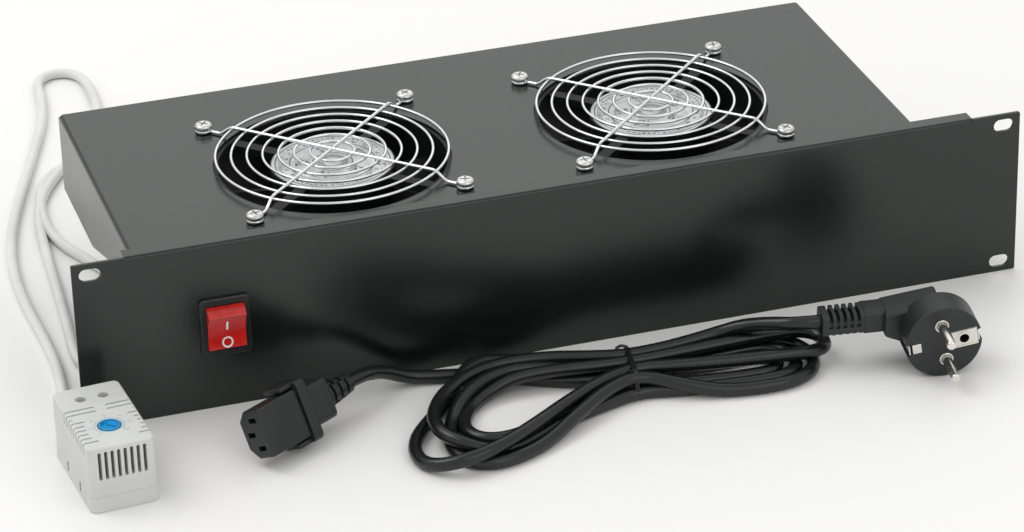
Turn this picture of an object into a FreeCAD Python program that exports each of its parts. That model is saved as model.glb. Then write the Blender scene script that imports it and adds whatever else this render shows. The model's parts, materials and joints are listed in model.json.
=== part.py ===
"""Rack fan tray, two rack units high: a folded front panel carries a shallow folded box with two mains fans blowing up
through wire guards, a rocker switch in the panel, a mains inlet and a cable gland in the rear wall, a thermostat on its
own cable and a loose mains lead tied in a hank. Millimetres. X runs to the right along the panel, Y to the rear and Z
up. The origin is the middle of the four rack slots, on the panel's front face."""

import FreeCAD
import Part
import Sketcher

import math
import os
import re

from FreeCAD import Placement, Rotation, Vector

doc = FreeCAD.newDocument("RackFanTray")

# Driving sizes

SIZES = {
    "panel_width": 482.6, "panel_height": 88.1, "panel_thickness": 1.5,
    "slot_inset_x": 8.75, "slot_inset_z": 5.95, "slot_width": 6.5, "slot_length": 10.5,
    "lip_inset": 25.55, "lip_depth": 8.5, "bend_radius": 2.0, "relief_width": 1.6, "relief_height": 4.0,
    "panel_to_box_left": 29.3, "panel_to_box_right": 53.3, "box_depth": 168.5, "box_height": 42.5, "sheet": 1.2,
    "corner_gap": 0.3, "front_flange": 16.0, "taper_length": 100.0, "taper_rise": 31.0,
    "stud_radius": 2.0, "stud_length": 8.0, "stud_inset": 16.0, "stud_drop": 9.0, "nut_flats": 7.0, "nut_height": 3.2,
    "fan_size": 120.0, "fan_depth": 38.0, "fan_spread": 0.2875, "fan_middle_y": 71.0, "fan_hole_pitch": 105.0,
    "fan_flange": 4.0, "fan_barrel_radius": 59.3, "fan_bore_radius": 56.8, "fan_corner_radius": 80.0,
    "screw_hole_radius": 2.2, "plate_hole_radius": 59.0,
    "hub_radius": 31.0, "hub_thickness": 7.0, "label_radius": 30.2, "label_thickness": 0.4,
    "strut_width": 6.0, "strut_height": 4.0, "tube_radius": 7.0, "bearing_radius": 4.5, "bearing_length": 6.0,
    "shaft_radius": 2.0, "shaft_clearance": 0.05, "rotor_clearance": 1.0, "rotor_radius": 30.0, "rotor_wall": 2.5,
    "boss_radius": 5.0, "blade_tip_radius": 55.6, "blade_thickness": 1.8, "blade_height": 24.0,
    "blade_angle": 42.0, "stator_radius": 24.0, "stator_height": 12.0,
    "guard_radius": 57.5, "guard_ring_pitch": 7.75, "guard_wire": 1.8, "guard_rise": 4.5, "spoke_wire": 2.2,
    "eyelet_radius": 4.4, "eyelet_hole": 2.3, "screw_head_radius": 4.4, "screw_head_height": 1.5,
    "screw_dome_height": 1.1, "screw_dome_radius": 3.0, "screw_grip": 8.6,
    "switch_to_fan": 14.5, "switch_z": 0.0, "bezel_width": 25.0, "bezel_height": 31.0, "bezel_thickness": 2.0,
    "bezel_corner": 2.5, "switch_body_width": 21.8, "switch_body_height": 28.2, "switch_body_depth": 18.0,
    "cutout_clearance": 0.2, "rocker_width": 18.4, "rocker_radius": 11.8, "rocker_gap": 0.25, "rocker_depth": 7.2,
    "rocker_dish": 23.0, "rocker_tilt": 10.0, "rocker_pivot_y": 1.0, "rocker_back": 3.0, "cavity_depth": 13.5,
    "trunnion_radius": 1.5, "trunnion_length": 0.9, "spade_width": 6.3, "spade_thickness": 0.8, "spade_length": 8.0,
    "inlet_inset": 68.0, "inlet_z": 20.5, "inlet_width": 50.0, "inlet_height": 22.5, "inlet_flange": 3.0,
    "inlet_body_width": 27.0, "inlet_body_height": 19.8, "inlet_body_depth": 17.0, "socket_width": 24.4,
    "socket_height": 16.4, "socket_depth": 15.5, "inlet_screw_pitch": 40.0, "inlet_screw_radius": 1.5,
    "pin_width": 2.0, "pin_height": 4.0, "pin_length": 11.0, "pin_pitch": 7.0, "pin_drop": 2.0,
    "gland_inset": 52.0, "gland_z": 20.0, "gland_thread": 6.0, "gland_flats": 15.0, "gland_collar": 4.0,
    "gland_dome": 8.0, "gland_dome_radius": 6.4, "gland_mouth_radius": 4.4, "gland_shank": 10.0,
    "gland_nut_height": 3.5, "cable_radius": 2.75,
    "earth_inset": 22.0, "earth_z": 20.0, "earth_length": 14.0, "tag_radius": 5.0, "tag_thickness": 0.8,
    "stat_from_end": 1.1, "stat_y": -47.2, "stat_turn": 4.5, "stat_width": 33.0, "stat_length": 60.0,
    "stat_height": 34.0, "stat_base": 8.0, "stat_corner": 3.0, "stat_step": 0.4,
    "dial_y": -11.0, "dial_radius": 5.2, "dial_clearance": 0.08, "dial_height": 4.0, "dial_stand": 0.6,
    "dial_slot_width": 1.6, "dial_slot_depth": 1.2, "scale_radius": 9.0, "scale_depth": 0.4,
    "terminal_y": 17.5, "terminal_pitch": 10.0, "terminal_hole": 2.4, "terminal_depth": 9.0,
    "terminal_screw_radius": 2.0, "terminal_screw_height": 3.0, "vent_count": 8.0, "vent_pitch": 3.1,
    "vent_width": 1.5, "vent_height": 14.5, "vent_depth": 4.0, "vent_drop": 2.5,
    "louvre_count": 6.0, "louvre_pitch": 3.6, "louvre_width": 1.2, "louvre_length": 7.0, "louvre_drop": 7.0,
    "louvre_depth": 2.0, "louvre_start": -22.0, "collar_x": -3.0, "collar_radius": 4.2, "collar_length": 6.0,
    "collar_height": 12.0,
    "lead_radius": 3.4, "connector_x": -172.0, "connector_y": -61.6, "connector_turn": 31.8, "connector_roll": 65.0,
    "connector_nose": 26.0, "connector_nose_width": 24.0, "connector_nose_height": 15.6, "connector_bevel": 5.0,
    "connector_collar": 6.0, "connector_collar_width": 31.0, "connector_collar_height": 19.0, "connector_corner": 3.0,
    "connector_tab": 8.0, "connector_tab_gap": 0.9, "connector_body": 14.0, "connector_body_width": 20.5,
    "connector_body_height": 15.0, "relief_length": 18.0, "relief_root_radius": 7.0, "relief_tip_radius": 4.8,
    "relief_core": 4.2, "relief_groove": 1.6, "connector_slot_width": 5.0, "connector_slot_height": 2.4,
    "connector_slot_depth": 14.0,
    "hank_height": 14.0, "tie_x": 19.0, "tie_y": -55.0, "tie_turn": -12.0, "tie_width": 3.0, "tie_thickness": 0.8,
    "plug_x": 165.4, "plug_y": -76.3, "plug_turn": -8.0, "plug_tilt": 3.0, "plug_roll": 9.0, "plug_radius": 19.0,
    "plug_front": 16.0, "plug_back": 7.0, "plug_neck_width": 14.0, "plug_neck_height": 12.4, "plug_neck_length": 35.0,
    "plug_neck_y": 8.0, "plug_neck_z": 4.2, "plug_block_length": 26.0, "plug_block_height": 29.0,
    "plug_relief_length": 21.0, "plug_groove": 1.8, "plug_groove_pitch": 3.4, "plug_groove_top": 4.0,
    "plug_groove_bottom": 2.0, "plug_pin_radius": 2.4, "plug_pin_length": 19.0, "plug_pin_pitch": 19.0,
    "plug_key_width": 6.4, "plug_key_depth": 2.2, "clip_width": 6.0, "clip_thickness": 0.8, "clip_length": 13.0,
    "clip_reach": 5.8, "earth_reach": 14.2, "earth_width": 9.5, "earth_hole": 2.4, "earth_hole_x": 10.0,
    "earth_hole_depth": 12.0,
}

# Places worked out from the sizes

PLACES = {
    "slot_pitch_x": "panel_width - 2 * slot_inset_x",
    "slot_pitch_z": "panel_height - 2 * slot_inset_z",
    "lip_width": "panel_width - 2 * lip_inset",
    "panel_top": "panel_height / 2",
    "floor_z": "-panel_height / 2",
    "box_width": "panel_width - panel_to_box_left - panel_to_box_right",
    "box_middle": "(panel_to_box_left - panel_to_box_right) / 2",
    "box_left": "-panel_width / 2 + panel_to_box_left",
    "box_right": "panel_width / 2 - panel_to_box_right",
    "box_top": "panel_height / 2 - panel_thickness",
    "box_bottom": "panel_height / 2 - panel_thickness - box_height",
    "box_back": "panel_thickness + box_depth",
    "fan_top": "panel_height / 2 - panel_thickness - sheet",
    "fan_bottom": "panel_height / 2 - panel_thickness - sheet - fan_depth",
    "fan_left_x": "(panel_to_box_left - panel_to_box_right - fan_size"
                  " - fan_spread * (panel_width - panel_to_box_left - panel_to_box_right - 2 * fan_size)) / 2",
    "fan_right_x": "(panel_to_box_left - panel_to_box_right + fan_size"
                   " + fan_spread * (panel_width - panel_to_box_left - panel_to_box_right - 2 * fan_size)) / 2",
    "stud_z": "panel_height / 2 - panel_thickness - stud_drop",
    "ring_z": "panel_height / 2 - panel_thickness + guard_rise",
    "head_z": "panel_height / 2 - panel_thickness + spoke_wire",
    "rotor_bottom": "panel_height / 2 - panel_thickness - sheet - fan_depth + rotor_clearance",
    "rotor_top": "panel_height / 2 - panel_thickness - sheet - hub_thickness - rotor_clearance",
    "tube_bottom": "panel_height / 2 - panel_thickness - sheet - fan_depth + 9 * rotor_clearance",
    "hub_bottom": "panel_height / 2 - panel_thickness - sheet - hub_thickness",
    "switch_x": "(panel_to_box_left - panel_to_box_right - fan_size"
                " - fan_spread * (panel_width - panel_to_box_left - panel_to_box_right - 2 * fan_size)) / 2"
                " - fan_size / 2 - switch_to_fan",
    "earth_x": "panel_width / 2 - panel_to_box_right - earth_inset",
    "inlet_x": "panel_width / 2 - panel_to_box_right - inlet_inset",
    "gland_x": "-panel_width / 2 + panel_to_box_left + gland_inset",
    "gland_mouth_y": "panel_thickness + box_depth + gland_collar + gland_dome",
    "stat_x": "-panel_width / 2 + stat_from_end",
    "connector_z": "-panel_height / 2 + (connector_collar_width / 2 - connector_corner) * sin(connector_roll * 1deg)"
                   " + (connector_collar_height / 2 - connector_corner) * cos(connector_roll * 1deg) + connector_corner",
    "plug_z": "-panel_height / 2 + plug_radius * cos(plug_tilt * 1deg) + plug_front * sin(plug_tilt * 1deg)",
}


def full(formula):
    """The formula with each size and place named by its sheet."""

    def named(match):
        word = match.group(0)
        if word in SIZES:
            return "Sizes." + word
        return "Places." + word if word in PLACES else word

    return re.sub(r"[a-z_]+", named, str(formula))


def sheet(name, cells, prefix=""):
    made = doc.addObject("Spreadsheet::Sheet", name)
    for row, (alias, content) in enumerate(cells.items(), 1):
        made.set(f"A{row}", alias)
        made.set(f"B{row}", prefix + (full(content) if prefix else str(content)))
        made.setAlias(f"B{row}", alias)
    doc.recompute()
    return made


size_sheet = sheet("Sizes", SIZES)
place_sheet = sheet("Places", PLACES, "=")


def value(name):
    """One size or place as a plain number."""
    return float((size_sheet if name in SIZES else place_sheet).get(name))


# Helpers that make bound objects

ALONG = {
    "x": Rotation(Vector(0, 1, 0), 90),
    "y": Rotation(Vector(1, 0, 0), -90),
    "z": Rotation(),
    "front": Rotation(Vector(1, 0, 0), 90),
}


def bind(thing, **formulas):
    for name, formula in formulas.items():
        thing.setExpression(name, full(formula))
    return thing


def put(thing, at, rotation=None):
    """Bind the placement's base to three formulas."""
    if rotation is not None:
        thing.Placement = Placement(Vector(), rotation)
    for axis, formula in zip("xyz", at):
        thing.setExpression(f"Placement.Base.{axis}", full(formula))
    return thing


def block(name, at, size):
    """A box by the middle of its underside."""
    thing = bind(doc.addObject("Part::Box", name), Length=size[0], Width=size[1], Height=size[2])
    return put(thing, (f"({at[0]}) - ({size[0]}) / 2", f"({at[1]}) - ({size[1]}) / 2", at[2]))


def rod(name, at, radius, length, along="z"):
    thing = bind(doc.addObject("Part::Cylinder", name), Radius=radius, Height=length)
    return put(thing, at, ALONG[along])


def cone(name, at, first, second, length, along="z"):
    thing = bind(doc.addObject("Part::Cone", name), Radius1=first, Radius2=second, Height=length)
    return put(thing, at, ALONG[along])


def prism(name, at, sides, radius, length, along="z"):
    """A regular prism by its corner radius."""
    thing = bind(doc.addObject("Part::Prism", name), Circumradius=radius, Height=length)
    thing.Polygon = sides
    return put(thing, at, ALONG[along])


def many(kind, name, things):
    made = doc.addObject(kind, name)
    if kind == "Part::Compound":
        made.Links = things
    else:
        made.Shapes = things
    return made


def fuse(name, *things):
    return many("Part::MultiFuse", name, list(things))


def common(name, *things):
    return many("Part::MultiCommon", name, list(things))


def group(name, *things):
    return many("Part::Compound", name, list(things))


def cut(name, base, *tools):
    made = doc.addObject("Part::Cut", name)
    made.Base = base
    made.Tool = tools[0] if len(tools) == 1 else many("Part::Compound", name + "_tools", list(tools))
    return made


def slab(name, at, size, radius, along="z"):
    """A padded rectangle with its four long edges rounded, by the middle of its sketch."""
    body = doc.addObject("PartDesign::Body", name)
    plane = next(item for item in body.Origin.OriginFeatures if item.Role == "XY_Plane")
    sketch = body.newObject("Sketcher::SketchObject", name + "_sketch")
    sketch.AttachmentSupport = (plane, [""])
    sketch.MapMode = "FlatFace"
    wide, deep = value_of(size[0]), value_of(size[1])
    corners = [Vector(sx * wide / 2, sy * deep / 2, 0) for sx, sy in ((-1, -1), (1, -1), (1, 1), (-1, 1))]
    for first, second in zip(corners, corners[1:] + corners[:1]):
        sketch.addGeometry(Part.LineSegment(first, second), False)
    for line in range(4):
        sketch.addConstraint(Sketcher.Constraint("Coincident", line, 2, (line + 1) % 4, 1))
        sketch.addConstraint(Sketcher.Constraint("Vertical" if line % 2 else "Horizontal", line))
    sketch.addConstraint(Sketcher.Constraint("Symmetric", 0, 1, 1, 2, -1, 1))
    across = sketch.addConstraint(Sketcher.Constraint("DistanceX", 0, 1, 0, 2, wide))
    along_side = sketch.addConstraint(Sketcher.Constraint("DistanceY", 1, 1, 1, 2, deep))
    sketch.setExpression(f"Constraints[{across}]", full(size[0]))
    sketch.setExpression(f"Constraints[{along_side}]", full(size[1]))
    pad = body.newObject("PartDesign::Pad", name + "_pad")
    pad.Profile = sketch
    bind(pad, Length=size[2])
    doc.recompute()
    rounds = body.newObject("PartDesign::Fillet", name + "_rounds")
    long_edges = [
        f"Edge{number}" for number, edge in enumerate(pad.Shape.Edges, 1)
        if abs(edge.tangentAt(edge.FirstParameter).z) > 0.99
    ]
    rounds.Base = (pad, long_edges)
    bind(rounds, Radius=radius)
    body.Tip = rounds
    return put(body, at, ALONG[along])


def value_of(formula):
    """A size formula as a number: one name, or a first guess that the sketch's bound constraint then corrects."""
    text = str(formula)
    return value(text) if text in SIZES or text in PLACES else 10.0


def feature(name, shape, placement=None):
    made = doc.addObject("Part::Feature", name)
    made.Shape = shape
    if placement is not None:
        made.Placement = placement
    return made


NODES = {}


def node(name, thing, frame=None):
    """Keep a finished sub-part under its own label, moved with the given placement if it has one."""
    if frame is not None:
        thing = group(name + "_placed", thing)
        thing.Placement = frame
    thing.Label = name
    NODES[name] = thing
    return thing


# Wires and cords: straight runs joined by tangent arcs

def rounding(before, corner, after):
    """The largest tangent arc that the two runs at a corner allow, as its start, middle, end and radius."""
    first, second = corner - before, after - corner
    half = first.getAngle(second) / 2
    reach = 0.45 * min(first.Length, second.Length)
    radius = reach / math.tan(half)
    start = corner - first.normalize() * reach
    end = corner + second.normalize() * reach
    inward = ((start + end) * 0.5 - corner).normalize()
    return start, corner + inward * (radius / math.cos(half) - radius), end, radius


def route(points):
    points = [Vector(*point) for point in points]
    edges, here, radii = [], points[0], []
    for corners in zip(points, points[1:], points[2:]):
        start, middle, end, radius = rounding(*corners)
        edges += [Part.LineSegment(here, start).toShape(), Part.Arc(start, middle, end).toShape()]
        radii.append(radius)
        here = end
    edges.append(Part.LineSegment(here, points[-1]).toShape())
    return Part.Wire(edges), radii


def loop_face(points, level):
    """A flat face inside a closed outline whose corners are all rounded by tangent arcs."""
    points = [Vector(x, y, level) for x, y in points]
    arcs = [rounding(*corners) for corners in zip(points[-1:] + points, points, points[1:] + points[:1])]
    edges = []
    for (start, middle, end, _), (following, _, _, _) in zip(arcs, arcs[1:] + arcs[:1]):
        edges += [Part.Arc(start, middle, end).toShape(), Part.LineSegment(end, following).toShape()]
    return Part.Face(Part.Wire(edges))


CORD_SIDES = 8
CORD_CORNER = math.sqrt(2 * math.pi / (CORD_SIDES * math.sin(2 * math.pi / CORD_SIDES)))


def cord(points, radius):
    """A tube along the route; its eight-sided section has the area of the round one."""
    path, radii = route(points)
    first = path.Edges[0]
    way = first.tangentAt(first.FirstParameter)
    side = way.cross(Vector(0, 0, 1)).normalize() * (radius * CORD_CORNER)
    corners = [path.Vertexes[0].Point + Rotation(way, 360 / CORD_SIDES * (number + 0.5)).multVec(side)
               for number in range(CORD_SIDES)]
    made = path.makePipeShell([Part.makePolygon(corners + corners[:1])], True, False)
    print(f"cord {path.Length:.0f} mm, least bend radius {min(radii):.1f} mm, "
          f"volume over section times length {made.Volume / (math.pi * radius ** 2 * path.Length):.4f}")
    return made


def square_wire(points, width):
    """A square-section wire with mitred corners, for a bar that lies in one upright plane."""
    points = [Vector(*point) for point in points]
    way = (points[1] - points[0]).normalize()
    side = way.cross(Vector(0, 0, 1)).normalize() * (width / 2)
    rise = side.cross(way).normalize() * (width / 2)
    corners = [points[0] + side + rise, points[0] - side + rise, points[0] - side - rise, points[0] + side - rise]
    profile = Part.makePolygon(corners + corners[:1])
    return Part.makePolygon(points).makePipeShell([profile], True, False, 1)


# Front panel

def make_panel():
    plate = block("panel_plate", ("0", "panel_thickness / 2", "-panel_height / 2"),
                  ("panel_width", "panel_thickness", "panel_height"))
    bend_strip = block("panel_bend_strip", ("0", "panel_thickness / 2", "panel_top - bend_radius"),
                       ("lip_width", "2 * panel_thickness", "2 * bend_radius"))
    tools = [bend_strip]
    for side in (-1, 1):
        tools.append(block("panel_relief", (f"{side} * (lip_width + relief_width) / 2", "panel_thickness / 2",
                                            "panel_top - relief_height"),
                           ("relief_width", "2 * panel_thickness", "2 * relief_height")))
        for level in (-1, 1):
            x, z = f"{side} * slot_pitch_x / 2", f"{level} * slot_pitch_z / 2"
            straight = "(slot_length - slot_width)"
            tools.append(block("slot_middle", (x, "panel_thickness / 2", f"{z} - slot_width / 2"),
                               (straight, "2 * panel_thickness", "slot_width")))
            for end in (-1, 1):
                tools.append(rod("slot_end", (f"{x} + {end} * {straight} / 2", "-panel_thickness / 2", z),
                                 "slot_width / 2", "2 * panel_thickness", "y"))
    tools.append(block("switch_cutout", ("switch_x", "panel_thickness / 2",
                                         "switch_z - switch_body_height / 2 - cutout_clearance"),
                       ("switch_body_width + 2 * cutout_clearance", "2 * panel_thickness",
                        "switch_body_height + 2 * cutout_clearance")))
    flat = cut("panel_flat", plate, fuse("panel_holes", *tools))
    bend = fold("panel", "lip_width", ("0", "bend_radius", "panel_top - bend_radius"),
                "bend_radius", "bend_radius - panel_thickness", Rotation(Vector(1, 0, 0), 180).multiply(ALONG["x"]))
    lip = block("panel_lip", ("0", "(lip_depth + bend_radius) / 2", "panel_top - panel_thickness"),
                ("lip_width", "lip_depth - bend_radius", "panel_thickness"))
    node("front_panel", fuse("panel_sheet", flat, bend, lip))
    studs, nuts = [], []
    for x in ("box_left + stud_inset", "box_middle", "box_right - stud_inset"):
        studs.append(rod("stud", (x, "panel_thickness", "stud_z"), "stud_radius", "stud_length", "y"))
        nuts.append(nut("panel_nut", (x, "panel_thickness + sheet", "stud_z"), "stud_radius", "y"))
    node("panel_studs", group("panel_stud_set", *studs))
    node("panel_nuts", group("panel_nut_set", *nuts))


def fold(name, length, at, outer, inner, rotation):
    """A quarter turn of sheet along the middle of its length; the turn covers the quadrant that rotation gives."""
    quarters = []
    for which, radius in (("outer", outer), ("inner", inner)):
        quarter = doc.addObject("Part::Cylinder", f"{name}_bend_{which}")
        quarter.Angle = 90
        bind(quarter, Radius=radius, Height=length)
        ends = {"x": (f"({at[0]}) - ({length}) / 2", at[1], at[2]), "y": (at[0], f"({at[1]}) - ({length}) / 2", at[2])}
        way = rotation.multVec(Vector(0, 0, 1))
        quarters.append(put(quarter, ends["x" if abs(way.x) > 0.5 else "y"], rotation))
    return cut(f"{name}_bend", *quarters)


def nut(name, at, bore, along):
    body = prism(name + "_hex", at, 6, "nut_flats / 2 / cos(30deg)", "nut_height", along)
    return cut(name, body, rod(name + "_bore", at, bore, "nut_height", along))


# Folded box that carries the fans

def make_box():
    flat_width, flat_depth = "(box_width - 2 * bend_radius)", "(box_depth - 2 * bend_radius)"
    middle_y = "(panel_thickness + box_depth / 2)"
    wall_top = "box_top - bend_radius"
    wall_height = "(box_height - bend_radius)"
    top = block("box_plate", ("box_middle", middle_y, "box_top - sheet"), (flat_width, flat_depth, "sheet"))
    inner = "bend_radius - sheet"
    upright = Rotation(Vector(0, 0, 1), 90)
    pieces = [
        fold("box_front", flat_width, ("box_middle", "panel_thickness + bend_radius", wall_top),
             "bend_radius", inner, Rotation(Vector(1, 0, 0), 180).multiply(ALONG["x"])),
        fold("box_rear", flat_width, ("box_middle", "box_back - bend_radius", wall_top),
             "bend_radius", inner, Rotation(Vector(1, 0, 0), 90).multiply(ALONG["x"])),
        fold("box_left_side", flat_depth, ("box_left + bend_radius", middle_y, wall_top), "bend_radius", inner,
             upright.multiply(Rotation(Vector(1, 0, 0), 90)).multiply(ALONG["x"])),
        fold("box_right_side", flat_depth, ("box_right - bend_radius", middle_y, wall_top), "bend_radius", inner,
             upright.multiply(Rotation(Vector(1, 0, 0), 180)).multiply(ALONG["x"])),
    ]
    between = "box_width - 2 * sheet - 2 * corner_gap"
    front = block("box_front_wall", ("box_middle", "panel_thickness + sheet / 2", "box_top - front_flange"),
                  (between, "sheet", "front_flange - bend_radius"))
    rear = block("box_rear_wall", ("box_middle", "box_back - sheet / 2", "box_bottom"), (between, "sheet", wall_height))
    sides = []
    for name, x in (("left", "box_left + sheet / 2"), ("right", "box_right - sheet / 2")):
        wall = block(f"box_{name}_wall", (x, middle_y, "box_bottom"), ("sheet", "box_depth", wall_height))
        taper = bind(doc.addObject("Part::Wedge", f"box_{name}_taper"), Xmin="0", Xmax="3 * sheet", Ymin="0",
                     Ymax="taper_length", Zmin="0", Zmax="taper_rise + sheet", X2min="0", X2max="3 * sheet",
                     Z2min="0", Z2max="sheet")
        put(taper, (f"{x} - 1.5 * sheet", "panel_thickness", "box_bottom - sheet"))
        sides.append(cut(f"box_{name}_side_wall", wall, taper))
    holes = []
    for side in ("left", "right"):
        x = f"fan_{side}_x"
        holes.append(rod(f"fan_opening_{side}", (x, "fan_middle_y", "box_top - 2 * sheet"),
                         "plate_hole_radius", "3 * sheet"))
        for at in fan_corners(side):
            holes.append(rod("plate_screw_hole", (*at, "box_top - 2 * sheet"), "screw_hole_radius", "3 * sheet"))
    for x in ("box_left + stud_inset", "box_middle", "box_right - stud_inset"):
        holes.append(rod("flange_hole", (x, "panel_thickness - sheet", "stud_z"), "stud_radius", "3 * sheet", "y"))
    holes.append(block("inlet_cutout", ("inlet_x", "box_back - sheet / 2",
                                        "inlet_z - inlet_body_height / 2 - cutout_clearance"),
                       ("inlet_body_width + 2 * cutout_clearance", "3 * sheet",
                        "inlet_body_height + 2 * cutout_clearance")))
    for side in (-1, 1):
        holes.append(rod("inlet_screw_hole", (f"inlet_x + {side} * inlet_screw_pitch / 2", "box_back - 2 * sheet",
                                              "inlet_z"), "inlet_screw_radius", "3 * sheet", "y"))
    holes.append(rod("gland_hole", ("gland_x", "box_back - 2 * sheet", "gland_z"), "gland_thread", "3 * sheet", "y"))
    shell = fuse("box_shell", top, *pieces, front, rear, *sides)
    node("fan_box", cut("box_sheet", shell, fuse("box_holes", *holes)))


# Fans

def fan_corners(side):
    reach = "fan_hole_pitch / 2"
    return [(f"fan_{side}_x + {sx} * {reach}", f"fan_middle_y + {sy} * {reach}")
            for sx, sy in ((-1, 1), (1, 1), (1, -1), (-1, -1))]


def make_fan_frame(side):
    x, y = f"fan_{side}_x", "fan_middle_y"
    flanges = []
    for name, z in (("upper", "fan_top - fan_flange"), ("lower", "fan_bottom")):
        plate = block(f"fan_{side}_{name}_plate", (x, y, z), ("fan_size", "fan_size", "fan_flange"))
        rounding = rod(f"fan_{side}_{name}_rounding", (x, y, z), "fan_corner_radius", "fan_flange")
        flanges.append(common(f"fan_{side}_{name}_flange", plate, rounding))
    barrel = rod(f"fan_{side}_barrel", (x, y, "fan_bottom"), "fan_barrel_radius", "fan_depth")
    bore = rod(f"fan_{side}_bore", (x, y, "fan_bottom - fan_flange"), "fan_bore_radius", "fan_depth + 2 * fan_flange")
    holes = [rod("fan_screw_hole", (*at, "fan_bottom - fan_flange"), "screw_hole_radius", "fan_depth + 2 * fan_flange")
             for at in fan_corners(side)]
    housing = cut(f"fan_{side}_housing", fuse(f"fan_{side}_casting", *flanges, barrel), bore, *holes)
    hub = rod(f"fan_{side}_hub", (x, y, "hub_bottom"), "hub_radius", "hub_thickness - label_thickness")
    tube = rod(f"fan_{side}_tube", (x, y, "tube_bottom"), "tube_radius", "hub_bottom - tube_bottom + label_thickness")
    struts = []
    for angle in (45, 135):
        strut = bind(doc.addObject("Part::Box", f"fan_{side}_strut"), Length="2 * fan_bore_radius + fan_flange / 2",
                     Width="strut_width", Height="strut_height")
        turn = Rotation(Vector(0, 0, 1), angle)
        corner = turn.multVec(Vector(1, 0, 0)), turn.multVec(Vector(0, 1, 0))
        half_long, half_wide = "(fan_bore_radius + fan_flange / 4)", "strut_width / 2"
        put(strut, (f"{x} - {corner[0].x:.6f} * {half_long} - ({corner[1].x:.6f}) * {half_wide}",
                    f"{y} - ({corner[0].y:.6f}) * {half_long} - ({corner[1].y:.6f}) * {half_wide}",
                    "fan_top - strut_height - rotor_clearance"), turn)
        struts.append(strut)
    socket = rod(f"fan_{side}_socket", (x, y, "tube_bottom"), "bearing_radius", "hub_bottom - tube_bottom")
    solid = fuse(f"fan_{side}_cast", housing, hub, tube, *struts)
    node(f"fan_frame_{side}", cut(f"fan_{side}_frame", solid, socket))


def make_rotor(side):
    x, y = f"fan_{side}_x", "fan_middle_y"
    bell = rod(f"rotor_{side}_bell", (x, y, "rotor_bottom"), "rotor_radius", "rotor_top - rotor_bottom")
    hollow = rod(f"rotor_{side}_hollow", (x, y, "rotor_bottom + rotor_wall"), "rotor_radius - rotor_wall",
                 "rotor_top - rotor_bottom")
    boss = rod(f"rotor_{side}_boss", (x, y, "rotor_bottom"), "boss_radius", "tube_bottom - rotor_clearance - rotor_bottom")
    bore = rod(f"rotor_{side}_shaft_hole", (x, y, "rotor_bottom"), "shaft_radius", "tube_bottom - rotor_bottom")
    cup = cut(f"rotor_{side}_cup", bell, hollow)
    blades = feature(f"rotor_{side}_blades", rotor_blades(value(f"fan_{side}_x")))
    node(f"fan_rotor_{side}", cut(f"rotor_{side}", fuse(f"rotor_{side}_cast", cup, boss, blades), bore))
    node(f"fan_shaft_{side}", rod(f"shaft_{side}", (x, y, "rotor_bottom"), "shaft_radius",
                                  "hub_bottom - rotor_clearance - rotor_bottom"))


BLADES = 7


def rotor_blades(x):
    """Pitched blades from the bell's wall to a round tip line, in a ring about the shaft."""
    root, tip = value("rotor_radius") - value("rotor_wall") / 2, value("blade_tip_radius")
    thick, pitch = value("blade_thickness"), value("blade_angle")
    chord = value("blade_height") / math.sin(math.radians(pitch))
    rotor_height = value("rotor_top") - value("rotor_bottom")
    reach = Part.makeCylinder(tip, rotor_height, Vector(0, 0, -rotor_height / 2))
    blades = []
    for number in range(BLADES):
        blade = Part.makeBox(tip - root, chord, thick, Vector(root, -chord / 2, -thick / 2))
        blade.rotate(Vector(), Vector(1, 0, 0), pitch)
        blade.rotate(Vector(), Vector(0, 0, 1), 360 / BLADES * number)
        blades.append(blade.common(reach))
    made = Part.makeCompound(blades)
    made.translate(Vector(x, value("fan_middle_y"), (value("rotor_bottom") + value("rotor_top")) / 2))
    return made


def make_fan_inner():
    bearings, stators, labels = [], [], []
    for side in ("left", "right"):
        x, y = f"fan_{side}_x", "fan_middle_y"
        for name, z in (("low", "tube_bottom"), ("high", "hub_bottom - bearing_length - 2 * rotor_clearance")):
            ring = rod(f"bearing_{name}_{side}", (x, y, z), "bearing_radius", "bearing_length")
            hole = rod(f"bearing_{name}_{side}_hole", (x, y, z), "shaft_radius + shaft_clearance", "bearing_length")
            bearings.append(cut(f"bearing_{name}_{side}_ring", ring, hole))
        base = "hub_bottom - stator_height - 3 * rotor_clearance"
        stack = rod(f"stator_{side}", (x, y, base), "stator_radius", "stator_height")
        stators.append(cut(f"stator_{side}_stack", stack, rod(f"stator_{side}_hole", (x, y, base), "tube_radius",
                                                              "stator_height")))
        labels.append(rod(f"label_{side}", (x, y, "fan_top - label_thickness"), "label_radius", "label_thickness"))
    node("fan_bearings", group("bearing_set", *bearings))
    node("fan_stators", group("stator_set", *stators))
    node("fan_labels", group("label_set", *labels))


# Wire finger guards and their screws

RING_SIDES = (32, 32, 28, 24, 20, 16, 12)


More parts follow.
